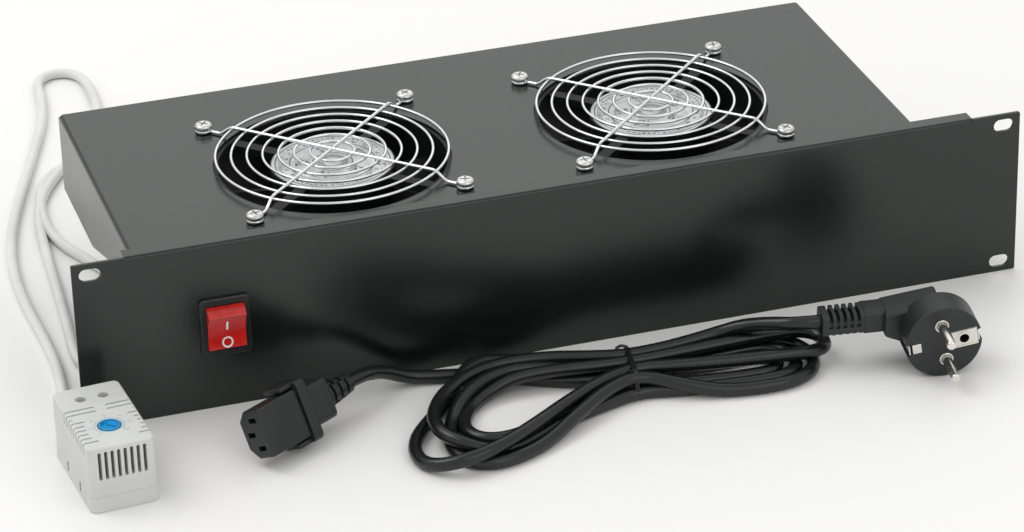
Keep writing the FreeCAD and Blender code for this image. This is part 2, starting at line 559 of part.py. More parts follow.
def make_guard(side):
    x, y = f"fan_{side}_x", "fan_middle_y"
    rings = []
    for number, sides in enumerate(RING_SIDES):
        radius = f"(guard_radius - {number} * guard_ring_pitch)"
        low = "ring_z - guard_wire / 2"
        outer = prism(f"guard_{side}_ring_outer", (x, y, low), sides, f"{radius} + guard_wire / 2", "guard_wire")
        inner = prism(f"guard_{side}_ring_inner", (x, y, low), sides, f"{radius} - guard_wire / 2", "guard_wire")
        rings.append(cut(f"guard_{side}_ring_{number}", outer, inner))
    eyelets = [prism(f"guard_{side}_eyelet", (*at, "box_top"), 12, "eyelet_radius", "spoke_wire")
               for at in fan_corners(side)]
    holes = [prism(f"guard_{side}_eyelet_hole", (*at, "box_top"), 12, "eyelet_hole", "spoke_wire")
             for at in fan_corners(side)]
    spokes = feature(f"guard_{side}_spokes", guard_spokes(value(f"fan_{side}_x")))
    node(f"guard_{side}", cut(f"guard_{side}_wires", fuse(f"guard_{side}_weld", *rings, *eyelets, spokes), *holes))


def guard_spokes(x):
    """Two crossing bars over the rings, each stepping down at both ends to the eyelets on the plate."""
    corner = value("fan_hole_pitch") / math.sqrt(2) - value("eyelet_radius")
    wire = value("spoke_wire")
    low = value("box_top") + wire / 2
    high = value("ring_z") + value("guard_wire") / 2 + 0.2 * wire
    bars = []
    for angle in (45, 135):
        way = Vector(math.cos(math.radians(angle)), math.sin(math.radians(angle)), 0)
        stops = [(corner + wire / 2, low), (corner - 2.5 * wire, low), (value("guard_radius"), high)]
        stops += [(-reach, level) for reach, level in reversed(stops)]
        bars.append(square_wire([tuple(way * reach + Vector(0, 0, level)) for reach, level in stops], wire))
    made = bars[0].fuse(bars[1])
    made.translate(Vector(x, value("fan_middle_y"), 0))
    return made


def make_guard_screws():
    screws, nuts = [], []
    for side in ("left", "right"):
        for at in fan_corners(side):
            shank = rod("guard_shank", (*at, "head_z - screw_grip - nut_height"), "stud_radius",
                        "screw_grip + nut_height")
            head = rod("guard_head", (*at, "head_z"), "screw_head_radius", "screw_head_height")
            dome = cone("guard_dome", (*at, "head_z + screw_head_height"), "screw_head_radius", "screw_dome_radius",
                        "screw_dome_height")
            screws.append(fuse("guard_screw", shank, head, dome))
            nuts.append(nut("guard_nut", (*at, "fan_top - fan_flange - nut_height"), "stud_radius", "z"))
    node("guard_screws", group("guard_screw_set", *screws))
    node("guard_nuts", group("guard_nut_set", *nuts))


# Rocker switch

def make_switch():
    x, z = "switch_x", "switch_z"
    bezel = slab("switch_bezel", (x, "0", z), ("bezel_width", "bezel_height", "bezel_thickness"), "bezel_corner",
                 "front")
    body = block("switch_body", (x, "switch_body_depth / 2", f"{z} - switch_body_height / 2"),
                 ("switch_body_width", "switch_body_depth", "switch_body_height"))
    cavity_height = "2 * (rocker_radius + rocker_gap)"
    cavity = block("switch_cavity", (x, "(cavity_depth - bezel_thickness) / 2", f"{z} - {cavity_height} / 2"),
                   ("rocker_width + 2 * rocker_gap", "cavity_depth + bezel_thickness", cavity_height))
    reach = "(rocker_width + 2 * trunnion_length + 2 * rocker_gap)"
    bearing = rod("switch_trunnion_hole", (f"{x} - {reach} / 2", "rocker_pivot_y", z),
                  "trunnion_radius + shaft_clearance", reach, "x")
    node("switch_housing", cut("switch_shell", fuse("switch_moulding", bezel, body), cavity, bearing))
    disc = rod("rocker_disc", ("-rocker_width / 2", "0", "0"), "rocker_radius", "rocker_width", "x")
    dish = rod("rocker_dish_tool", ("-rocker_width", "-rocker_dish - rocker_depth + 2", "0"), "rocker_dish",
               "2 * rocker_width", "x")
    front = block("rocker_front_tool", ("0", "-rocker_depth - rocker_radius / 2", "-rocker_radius"),
                  ("2 * rocker_width", "rocker_radius", "2 * rocker_radius"))
    back = block("rocker_back_tool", ("0", "rocker_back + rocker_radius / 2", "-rocker_radius"),
                 ("2 * rocker_width", "rocker_radius", "2 * rocker_radius"))
    pins = rod("rocker_pins", ("-rocker_width / 2 - trunnion_length", "0", "0"), "trunnion_radius",
               "rocker_width + 2 * trunnion_length", "x")
    rocker = fuse("rocker", cut("rocker_key", disc, dish, front, back), pins)
    rocker.Placement = Placement(Vector(), Rotation(Vector(1, 0, 0), value("rocker_tilt")))
    put(rocker, (x, "rocker_pivot_y", z))
    rocker.setExpression("Placement.Rotation.Angle", full("rocker_tilt"))
    node("switch_rocker", rocker)
    spades = [block("switch_spade", (f"{x} + {sx} * 5", "switch_body_depth + spade_length / 2",
                                     f"{z} + {sz} * 7 - spade_width / 2"),
                    ("spade_thickness", "spade_length", "spade_width")) for sx in (-1, 1) for sz in (-1, 1)]
    node("switch_terminals", group("switch_spades", *spades))


# Mains inlet in the rear wall

def make_inlet():
    x, z = "inlet_x", "inlet_z"
    flange = slab("inlet_flange_plate", (x, "box_back", z), ("inlet_width", "inlet_height", "inlet_flange"), "4", "y")
    body = block("inlet_body", (x, "box_back - inlet_body_depth / 2", f"{z} - inlet_body_height / 2"),
                 ("inlet_body_width", "inlet_body_depth", "inlet_body_height"))
    mouth = "(box_back + inlet_flange)"
    socket = slab("inlet_socket", (x, f"{mouth} - socket_depth", z), ("socket_width", "socket_height", "2 * socket_depth"),
                  "2", "y")
    ears = [rod("inlet_ear_hole", (f"{x} + {side} * inlet_screw_pitch / 2", "box_back - sheet", z),
                "inlet_screw_radius", "2 * inlet_flange + 2 * sheet", "y") for side in (-1, 1)]
    node("inlet_housing", cut("inlet_moulding", fuse("inlet_solid", flange, body), socket, *ears))
    pins, back_spades = [], []
    for across, up in ((-1, 0), (0, 1), (1, 0)):
        at_x, at_z = f"{x} + {across} * pin_pitch", f"{z} - pin_drop + {up} * 2 * pin_drop"
        pins.append(block("inlet_pin", (at_x, f"{mouth} - socket_depth + pin_length / 2", f"{at_z} - pin_height / 2"),
                          ("pin_width", "pin_length", "pin_height")))
        back_spades.append(block("inlet_spade", (at_x, "box_back - inlet_body_depth - spade_length / 2",
                                                 f"{at_z} - spade_width / 2"),
                                 ("spade_thickness", "spade_length", "spade_width")))
    node("inlet_pins", group("inlet_pin_set", *pins))
    node("inlet_terminals", group("inlet_spades", *back_spades))
    screws, nuts = [], []
    for side in (-1, 1):
        at_x = f"{x} + {side} * inlet_screw_pitch / 2"
        shank = rod("inlet_shank", (at_x, "box_back - sheet - nut_height", z), "inlet_screw_radius",
                    "sheet + nut_height + inlet_flange", "y")
        head = cone("inlet_head", (at_x, f"{mouth}", z), "2 * inlet_screw_radius", "1.2 * inlet_screw_radius",
                    "inlet_screw_radius", "y")
        screws.append(fuse("inlet_screw", shank, head))
        nuts.append(nut("inlet_nut", (at_x, "box_back - sheet - nut_height", z), "inlet_screw_radius", "y"))
    node("inlet_screws", group("inlet_screw_set", *screws))
    node("inlet_nuts", group("inlet_nut_set", *nuts))


# Cable gland and earth stud in the rear wall

def make_gland():
    x, z = "gland_x", "gland_z"
    shank = rod("gland_shank_rod", (x, "box_back - gland_shank", z), "gland_thread", "gland_shank", "y")
    collar = prism("gland_hex", (x, "box_back", z), 6, "gland_flats / 2 / cos(30deg)", "gland_collar", "y")
    dome = cone("gland_dome_cone", (x, "box_back + gland_collar", z), "gland_dome_radius", "gland_mouth_radius",
                "gland_dome", "y")
    node("cable_gland", fuse("gland_solid", shank, collar, dome))
    at = (x, "box_back - sheet - gland_nut_height", z)
    hexagon = prism("gland_nut_hex", at, 6, "gland_flats / 2 / cos(30deg)", "gland_nut_height", "y")
    node("gland_nut", cut("gland_nut_ring", hexagon, rod("gland_nut_bore", at, "gland_thread", "gland_nut_height", "y")))


def make_earth():
    x, z = "earth_x", "earth_z"
    inside = "box_back - sheet"
    node("earth_stud", rod("earth_rod", (x, f"{inside} - earth_length", z), "stud_radius", "earth_length", "y"))
    tag = rod("earth_tag_disc", (x, f"{inside} - tag_thickness", z), "tag_radius", "tag_thickness", "y")
    spade = block("earth_tag_spade", (x, f"{inside} - tag_thickness / 2", f"{z} - tag_radius - spade_length"),
                  ("spade_width", "tag_thickness", "spade_length + tag_radius / 2"))
    hole = rod("earth_tag_hole", (x, f"{inside} - tag_thickness", z), "stud_radius", "tag_thickness", "y")
    node("earth_tag", cut("earth_tag_plate", fuse("earth_tag_solid", tag, spade), hole))
    node("earth_nut", nut("earth_hex", (x, f"{inside} - tag_thickness - nut_height", z), "stud_radius", "y"))


# Thermostat, built level about its own middle and then turned and set on the table

def make_thermostat():
    frame = Placement(Vector(value("stat_x"), value("stat_y"), value("floor_z")),
                      Rotation(Vector(0, 0, 1), value("stat_turn")))
    base = slab("stat_base_block", ("0", "0", "0"), ("stat_width", "stat_length", "stat_base"), "stat_corner")
    node("thermostat_base", base, frame)
    body = slab("stat_body", ("0", "0", "stat_base"),
                ("stat_width - stat_step", "stat_length - stat_step", "stat_height - stat_base"), "stat_corner")
    top = "stat_height"
    tools = [
        rod("stat_dial_hole", ("0", "dial_y", f"{top} - dial_height"), "dial_radius + dial_clearance", "2 * dial_height"),
        rod("stat_scale", ("0", "dial_y", f"{top} - scale_depth"), "scale_radius", "2 * scale_depth"),
        rod("stat_pivot_hole", ("0", "dial_y", f"{top} - 2 * dial_height"), "dial_radius / 2 + shaft_clearance",
            "2 * dial_height"),
    ]
    for side in (-1, 1):
        tools.append(rod("stat_terminal_hole", (f"{side} * terminal_pitch / 2", "terminal_y", f"{top} - terminal_depth"),
                         "terminal_hole", "2 * terminal_depth"))
        for number in range(int(value("louvre_count"))):
            y = f"louvre_start + {number} * louvre_pitch"
            outer = "(stat_width / 2)"
            tools.append(block("stat_louvre_top", (f"{side} * ({outer} - louvre_length / 2)", y, f"{top} - louvre_depth"),
                               ("louvre_length", "louvre_width", "2 * louvre_depth")))
            tools.append(block("stat_louvre_side", (f"{side} * {outer}", y, f"{top} - louvre_drop"),
                               ("2 * louvre_depth", "louvre_width", "louvre_drop + louvre_depth")))
    for number in range(int(value("vent_count"))):
        tools.append(block("stat_vent", (f"({number} - (vent_count - 1) / 2) * vent_pitch", "-stat_length / 2",
                                         f"{top} - vent_drop - vent_height"),
                           ("vent_width", "2 * vent_depth", "vent_height")))
    node("thermostat_housing", cut("stat_shell", body, fuse("stat_openings", *tools)), frame)
    knob = rod("dial_disc", ("0", "dial_y", f"{top} - dial_height"), "dial_radius", "dial_height + dial_stand")
    pivot = rod("dial_pivot", ("0", "dial_y", f"{top} - 2 * dial_height"), "dial_radius / 2", "2 * dial_height")
    slot = block("dial_slot", ("0", "dial_y", f"{top} + dial_stand - dial_slot_depth"),
                 ("1.6 * dial_radius", "dial_slot_width", "2 * dial_slot_depth"))
    node("thermostat_dial", cut("dial", fuse("dial_solid", knob, pivot), slot), frame)
    screws = []
    for side in (-1, 1):
        at = (f"{side} * terminal_pitch / 2", "terminal_y", f"{top} - terminal_depth")
        head = rod("stat_terminal_screw", at, "terminal_screw_radius", "terminal_screw_height")
        slot = block("stat_terminal_slot", (at[0], at[1], f"{at[2]} + terminal_screw_height - dial_slot_depth"),
                     ("terminal_screw_radius * 2.5", "spade_thickness", "2 * dial_slot_depth"))
        screws.append(cut("stat_terminal", head, slot))
    node("thermostat_screws", group("stat_terminals", *screws), frame)
    collar = rod("stat_collar", ("collar_x", "(stat_length - stat_step) / 2", "collar_height"), "collar_radius",
                 "collar_length", "y")
    node("thermostat_collar", collar, frame)
    start = frame.multVec(Vector(value("collar_x"), (value("stat_length") - value("stat_step")) / 2 + value("collar_length"),
                                 value("collar_height")))
    return start, frame.Rotation.multVec(Vector(0, 1, 0))


# Thermostat cable, lying on the table in the loops that it kept from its packing

CABLE_DROP = ((0, 0, 0), (0, 13, 0), (0.5, 33, -10), (0.5, 51, -28), (-1, 67, -43), (-5, 82, -54))
CABLE_BEHIND = (
    (-13, 94), (-28, 98), (-42, 90), (-50, 75), (-54, 57), (-56, 39), (-55.5, 22), (-52, 5), (-45, -11), (-38, -28), (-32.5, -47),
    (-29.5, -67), (-29, -88), (-30, -107), (-30, -124), (-42, -136), (-59, -136), (-70.5, -124), (-70.5, -107),
    (-68.5, -84), (-66.5, -58), (-64.5, -31), (-62.5, -3), (-60.5, 24), (-56.5, 50), (-48, 73), (-35, 94), (-19, 114),
    (-4, 135), (6, 159), (10.5, 181), (10.5, 199), (-2, 211.5), (-19.5, 211.5), (-31.5, 199), (-32, 181), (-36, 154),
    (-45, 123), (-55, 92), (-65.5, 60), (-75, 29), (-81, -2), (-83.5, -33), (-83, -64), (-81.5, -94), (-81.5, -122),
    (-84, -146), (-86, -163),
)
CABLE_LAST_RUN = 11


def make_cable(stat_end, stat_way):
    """Down from the gland, over the table in the loops that it kept from its packing, and up into the thermostat."""
    floor = value("floor_z") + value("cable_radius") * CORD_CORNER
    mouth = Vector(value("gland_x"), value("gland_mouth_y"), value("gland_z"))
    points = [tuple(mouth + Vector(*step)) for step in CABLE_DROP]
    points += [(mouth.x + x, mouth.y + y, floor) for x, y in CABLE_BEHIND]
    points.append(tuple(stat_end + stat_way * CABLE_LAST_RUN))
    points.append(tuple(stat_end))
    node("thermostat_cable", feature("cable", cord(points, value("cable_radius"))))


# Mains lead: connector, tied hank and angled plug

def make_connector():
    """Nose with two cut corners, collar with a tab along each narrow side, grip and ribbed strain relief."""
    turn = Rotation(Vector(0, 0, 1), value("connector_turn")).multiply(Rotation(Vector(1, 0, 0), value("connector_roll")))
    frame = Placement(Vector(value("connector_x"), value("connector_y"), value("connector_z")), turn)
    nose = slab("connector_nose_block", ("0", "0", "0"),
                ("connector_nose_height", "connector_nose_width", "connector_nose"), "1", "x")
    bevels = [prism("connector_nose_bevel", ("0", f"{side} * connector_nose_width / 2", "-connector_nose_height / 2"), 4,
                    "connector_bevel", "connector_nose", "x") for side in (-1, 1)]
    collar = slab("connector_collar_block", ("connector_nose", "0", "0"),
                  ("connector_collar_height", "connector_collar_width", "connector_collar"), "connector_corner", "x")
    thick = "((connector_collar_width - connector_nose_width) / 2 - connector_tab_gap)"
    tabs = [block("connector_tab_plate",
                  ("connector_nose - connector_tab / 2", f"{side} * (connector_collar_width - {thick}) / 2",
                   "-connector_nose_height / 2 + connector_corner / 2"),
                  ("connector_tab", thick, "connector_nose_height - connector_corner")) for side in (-1, 1)]
    grip_start = "connector_nose + connector_collar"
    grip = slab("connector_grip_block", (grip_start, "0", "0"),
                ("connector_body_height", "connector_body_width", "connector_body"), "connector_corner", "x")
    relief_start = f"{grip_start} + connector_body"
    relief = cone("connector_relief", (relief_start, "0", "0"), "relief_root_radius", "relief_tip_radius",
                  "relief_length", "x")
    slots = [block("connector_slot", ("connector_slot_depth / 2 - 1", f"{across} * pin_pitch",
                                      f"{up} * pin_drop - connector_slot_width / 2"),
                   ("connector_slot_depth + 2", "connector_slot_height", "connector_slot_width"))
             for across, up in ((-1, 1), (0, -1), (1, 1))]
    grooves = [cut(f"relief_groove_{number}",
                   rod("relief_groove_outer", (f"{relief_start} + {start}", "0", "0"), "2 * relief_root_radius",
                       "relief_groove", "x"),
                   rod("relief_groove_inner", (f"{relief_start} + {start}", "0", "0"), "relief_core", "relief_groove",
                       "x"))
               for number, start in enumerate((3, 7.5, 12))]
    solid = fuse("connector_solid", cut("connector_nose_shape", nose, *bevels), collar, *tabs, grip, relief)
    node("connector_body", cut("connector", solid, fuse("connector_cuts", *slots, *grooves)), frame)
    reach = sum(value(name) for name in ("connector_nose", "connector_collar", "connector_body", "relief_length"))
    return frame.multVec(Vector(reach, 0, 0)), frame.Rotation.multVec(Vector(1, 0, 0))


HANK_OUTLINE = (
    (-101, -82), (-94, -101), (-74, -110.5), (-50, -109), (-27, -97), (-4, -82), (20, -75), (52, -77), (86, -83),
    (107, -77), (106, -62), (84, -50), (56, -42), (29, -33), (4, -20), (-20, -11), (-45, -12), (-67, -27), (-87, -49),
)
HANK_EYE = ((-66, -64), (-57, -49), (-38, -44), (-18, -49), (-11, -57), (-25, -67), (-42, -77), (-60, -78))


def make_hank():
    """The bundle's outer shape with the eye of its open loop, and the tie that lies over its waist."""
    floor, high = value("floor_z"), Vector(0, 0, value("hank_height"))
    bundle = loop_face(HANK_OUTLINE, floor).extrude(high)
    bundle = bundle.cut(loop_face(HANK_EYE, floor).extrude(high))
    node("lead_hank", feature("hank", bundle))
    wide, thick = value("tie_width"), value("tie_thickness")
    grown = bundle.makeOffsetShape(thick, 0.01, join=2)
    strip = Part.makeBox(wide, 80, value("hank_height") + thick, Vector(-wide / 2, -40, 0))
    strip.rotate(Vector(), Vector(0, 0, 1), value("tie_turn"))
    strip.translate(Vector(value("tie_x"), value("tie_y"), floor))
    node("hank_tie", feature("tie", strip.common(grown).cut(bundle)))


def plug_block():
    """Wedge behind the disc, which widens from the neck to a square end past the middle."""
    neck, wide = value("plug_neck_height") / 2, value("plug_neck_width")
    half, rise, y = value("plug_block_height") / 2, value("plug_neck_z"), value("plug_neck_y")
    long, end = value("plug_block_length"), value("plug_pin_radius")
    outline = [(-long, rise - neck), (-long, rise + neck), (end, half), (end, -half)]
    corners = [Vector(x, y + wide / 2, z) for x, z in outline]
    return Part.Face(Part.makePolygon(corners + corners[:1])).extrude(Vector(0, -wide - y / 2, 0))


def make_plug():
    """Round front with its pins and earth contacts, turned a little against the flat neck of the cord's exit."""
    turn = Rotation(Vector(0, 0, 1), value("plug_turn")).multiply(Rotation(Vector(1, 0, 0), value("plug_tilt")))
    frame = Placement(Vector(value("plug_x"), value("plug_y"), value("plug_z")), turn)
    rolled = Placement(Vector(), Rotation(Vector(0, 1, 0), -value("plug_roll")))
    disc = rod("plug_disc", ("0", "-plug_front", "0"), "plug_radius", "plug_front", "y")
    back = cone("plug_back_cone", ("0", "0", "0"), "plug_radius", "0.7 * plug_radius", "plug_back", "y")
    cuts = []
    for side, reach, wide in ((-1, "clip_reach", "clip_width"), (1, "earth_reach", "earth_width")):
        rim = f"{side} * (plug_radius - plug_key_depth / 2)"
        cuts.append(block("plug_key", (rim, "-plug_front / 2", "-plug_key_width / 2"),
                          ("plug_key_depth", "plug_front * 1.1", "plug_key_width")))
        seat = f"{side} * (plug_radius - plug_key_depth - {reach} / 2)"
        cuts.append(block("plug_contact_seat", (seat, "-plug_front", f"-{wide} / 2"),
                          (reach, "2 * clip_thickness", wide)))
    cuts.append(rod("plug_earth_hole", ("earth_hole_x", "-plug_front", "0"), "earth_hole", "earth_hole_depth", "y"))
    front = group("plug_front_turned", cut("plug_front_shape", fuse("plug_front_solid", disc, back), *cuts))
    front.Placement = rolled
    neck = slab("plug_neck", ("-plug_neck_length", "plug_neck_y", "plug_neck_z"),
                ("plug_neck_height", "plug_neck_width", "plug_neck_length"), "3", "x")
    relief_start = "-plug_neck_length - plug_relief_length"
    relief = slab("plug_relief", (relief_start, "plug_neck_y", "plug_neck_z"),
                  ("0.95 * plug_neck_height", "0.95 * plug_neck_width", "plug_relief_length"), "3", "x")
    grooves = []
    for number in range(5):
        at_x = f"{relief_start} + plug_groove_pitch * ({number} + 1) + plug_groove / 2"
        for depth, edge in (("plug_groove_top", "plug_neck_height / 2 - plug_groove_top"),
                            ("plug_groove_bottom", "-plug_neck_height / 2")):
            grooves.append(block("plug_relief_groove", (at_x, "plug_neck_y", f"plug_neck_z + {edge}"),
                                 ("plug_groove", "2 * plug_neck_width", depth)))
    block_behind = feature("plug_block", plug_block())
    solid = fuse("plug_solid", front, block_behind, neck, cut("plug_relief_shape", relief, *grooves))
    node("plug_body", solid, frame)
    pins = [rod("plug_pin", ("0", "-plug_front - plug_pin_length", f"{side} * plug_pin_pitch / 2"), "plug_pin_radius",
                "plug_pin_length", "y") for side in (-1, 1)]
    node("plug_pins", group("plug_pin_set", *pins), frame.multiply(rolled))
    clips = []
    for side, reach, wide in ((-1, "clip_reach", "clip_width"), (1, "earth_reach", "earth_width")):
        edge = "(plug_radius - plug_key_depth)"
        strip = block("plug_clip_strip", (f"{side} * ({edge} + clip_thickness / 2)", "-plug_front + clip_length / 2",
                                          "-clip_width / 2"), ("clip_thickness", "clip_length", "clip_width"))
        plate = block("plug_clip_plate", (f"{side} * ({edge} - {reach} / 2)", "-plug_front + clip_thickness / 2",
                                          f"-{wide} / 2"), (reach, "clip_thickness", wide))
        clips.append(fuse("plug_clip", strip, plate))
    hole = rod("plug_contact_hole", ("earth_hole_x", "-plug_front", "0"), "earth_hole", "clip_thickness", "y")
    contacts = group("plug_clip_set", clips[0], cut("plug_earth_contact", clips[1], hole))
    node("plug_earth_clips", contacts, frame.multiply(rolled))
    middle = Vector(-value("plug_neck_length") - value("plug_relief_length"), value("plug_neck_y"), value("plug_neck_z"))
    return frame.multVec(middle), frame.Rotation.multVec(Vector(-1, 0, 0))


LEAD_FIRST = ((-92, -12, 8), (-78, -11, 1), (-62, -14, 0), (-46, -22, 0))
LEAD_LAST = ((87, -53, 17), (75, -47, 12), (62, -42.5, 8.5), (46, -41.5, 6.7), (30, -44, 6))


def make_lead():
    start, way = make_connector()
    make_hank()
    end, back = make_plug()
    floor = value("floor_z") + value("lead_radius") * CORD_CORNER
    points = [tuple(start), tuple(start + way * 12)] + [(x, y, floor + rise) for x, y, rise in LEAD_FIRST]
    node("lead_cord_connector_end", feature("lead_first", cord(points, value("lead_radius"))))
    points = [tuple(end), tuple(end + back * 12)] + [(x, y, floor + rise) for x, y, rise in LEAD_LAST]
    node("lead_cord_plug_end", feature("lead_last", cord(points, value("lead_radius"))))


make_panel()
make_box()
for fan_side in ("left", "right"):
    make_fan_frame(fan_side)
    make_rotor(fan_side)
    make_guard(fan_side)
make_fan_inner()
make_guard_screws()
make_switch()
make_inlet()
make_gland()
make_earth()
make_cable(*make_thermostat())
make_lead()
doc.recompute()

# Check every object and write each sub-part

for item in doc.Objects:
    if "Invalid" in item.State or "Error" in item.State:
        raise RuntimeError(f"{item.Name} is {item.State}")
os.makedirs("parts", exist_ok=True)
for name, item in NODES.items():
    shape = item.Shape
    if shape.isNull() or not shape.isValid() or not shape.Solids:
        raise RuntimeError(f"{name} has no valid solid")
    shape.exportStep(f"parts/{name}.step")
    print(f"{name}: {len(shape.Solids)} solids, {shape.Volume:.0f} mm3")
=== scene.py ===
"""Rack fan tray with its thermostat and mains lead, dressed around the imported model.

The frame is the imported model's, in metres: X to the right along the panel, Y to the rear and Z up, from the
middle of the rack slots on the panel's front face. The pieces' own sizes and places are in millimetres."""
import json
import math

import bpy
from mathutils import Matrix, Vector


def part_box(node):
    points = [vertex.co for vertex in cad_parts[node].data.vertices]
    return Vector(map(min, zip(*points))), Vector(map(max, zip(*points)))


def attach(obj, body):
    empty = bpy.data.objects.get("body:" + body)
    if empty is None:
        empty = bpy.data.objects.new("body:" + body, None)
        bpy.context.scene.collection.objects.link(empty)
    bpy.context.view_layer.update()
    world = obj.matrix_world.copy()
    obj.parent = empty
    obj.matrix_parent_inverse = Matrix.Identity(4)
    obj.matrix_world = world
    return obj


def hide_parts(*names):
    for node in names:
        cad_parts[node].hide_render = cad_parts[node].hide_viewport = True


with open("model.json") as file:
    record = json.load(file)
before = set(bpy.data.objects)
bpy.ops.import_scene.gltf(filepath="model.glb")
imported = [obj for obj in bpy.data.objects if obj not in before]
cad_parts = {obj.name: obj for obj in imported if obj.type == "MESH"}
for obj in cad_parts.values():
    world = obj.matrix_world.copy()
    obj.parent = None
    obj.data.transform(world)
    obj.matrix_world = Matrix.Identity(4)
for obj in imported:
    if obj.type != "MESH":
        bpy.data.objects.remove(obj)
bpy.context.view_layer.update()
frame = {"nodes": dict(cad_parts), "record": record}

MM = 0.001

# Camera, fitted to the panel's corners, slots and fan screws in the photograph

CAMERA_PLACE = Vector((-0.5183, -1.6331, 0.8991))
CAMERA_RIGHT = Vector((0.95331, -0.30100, -0.02449))
CAMERA_UP = Vector((0.16044, 0.43609, 0.88548))
CAMERA_LENS = 139.26
CAMERA_REACH = 50


def add_camera():
    bpy.ops.object.camera_add()
    camera = bpy.context.object
    camera.name = "camera"
    turn = Matrix((CAMERA_RIGHT, CAMERA_UP, CAMERA_RIGHT.cross(CAMERA_UP))).transposed()
    camera.matrix_world = Matrix.Translation(CAMERA_PLACE) @ turn.to_4x4()
    camera.data.lens = CAMERA_LENS
    camera.data.clip_end = CAMERA_REACH
    bpy.context.scene.camera = camera


# Cords: their splines' control points, in metres

CABLE_DIAMETER = 0.0055
LEAD_DIAMETER = 0.0068
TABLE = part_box("front_panel")[0].z
LOW = TABLE + LEAD_DIAMETER / 2
HIGH = LOW + LEAD_DIAMETER
CABLE_LOW = TABLE + CABLE_DIAMETER / 2 + 0.0002
CORD_ROUND_STEPS = 5
CORD_LINE_STEPS = 8

CABLE_ROUTE = [
    (-0.1600, 0.1820, 0.0200), (-0.1600, 0.1950, 0.0200), (-0.1595, 0.2150, 0.0100),
    (-0.1595, 0.2330, -0.0080), (-0.1610, 0.2490, -0.0230), (-0.1650, 0.2640, -0.0340),
    (-0.1730, 0.2760, CABLE_LOW), (-0.1880, 0.2800, CABLE_LOW), (-0.2020, 0.2720, CABLE_LOW),
    (-0.2100, 0.2570, CABLE_LOW), (-0.2140, 0.2390, CABLE_LOW), (-0.2160, 0.2210, CABLE_LOW),
    (-0.2155, 0.2040, CABLE_LOW), (-0.2120, 0.1870, CABLE_LOW), (-0.2050, 0.1710, CABLE_LOW),
    (-0.1980, 0.1540, CABLE_LOW), (-0.1925, 0.1350, CABLE_LOW), (-0.1895, 0.1150, CABLE_LOW),
    (-0.1890, 0.0940, CABLE_LOW), (-0.1900, 0.0750, CABLE_LOW), (-0.1900, 0.0580, CABLE_LOW),
    (-0.2020, 0.0460, CABLE_LOW), (-0.2190, 0.0460, CABLE_LOW), (-0.2305, 0.0580, CABLE_LOW),
    (-0.2305, 0.0750, CABLE_LOW), (-0.2285, 0.0980, CABLE_LOW), (-0.2265, 0.1240, CABLE_LOW),
    (-0.2245, 0.1510, CABLE_LOW), (-0.2225, 0.1790, CABLE_LOW), (-0.2205, 0.2060, CABLE_LOW),
    (-0.2165, 0.2320, CABLE_LOW), (-0.2080, 0.2550, CABLE_LOW), (-0.1950, 0.2760, CABLE_LOW),
    (-0.1795, 0.2965, CABLE_LOW), (-0.1665, 0.3180, CABLE_LOW), (-0.1600, 0.3430, CABLE_LOW),
    (-0.1582, 0.3680, CABLE_LOW), (-0.1592, 0.3890, CABLE_LOW), (-0.1668, 0.3990, CABLE_LOW),
    (-0.1780, 0.3990, CABLE_LOW), (-0.1856, 0.3900, CABLE_LOW), (-0.1866, 0.3690, CABLE_LOW),
    (-0.1922, 0.3400, CABLE_LOW), (-0.2030, 0.3070, CABLE_LOW), (-0.2145, 0.2740, CABLE_LOW),
    (-0.2255, 0.2420, CABLE_LOW), (-0.2350, 0.2110, CABLE_LOW), (-0.2410, 0.1800, CABLE_LOW),
    (-0.2435, 0.1490, CABLE_LOW), (-0.2430, 0.1180, CABLE_LOW), (-0.2415, 0.0880, CABLE_LOW),
    (-0.2415, 0.0600, CABLE_LOW), (-0.2440, 0.0360, CABLE_LOW), (-0.2460, 0.0190, CABLE_LOW),
    (-0.24686, -0.00078, -0.03205), (-0.2460, -0.01175, -0.03205),
]

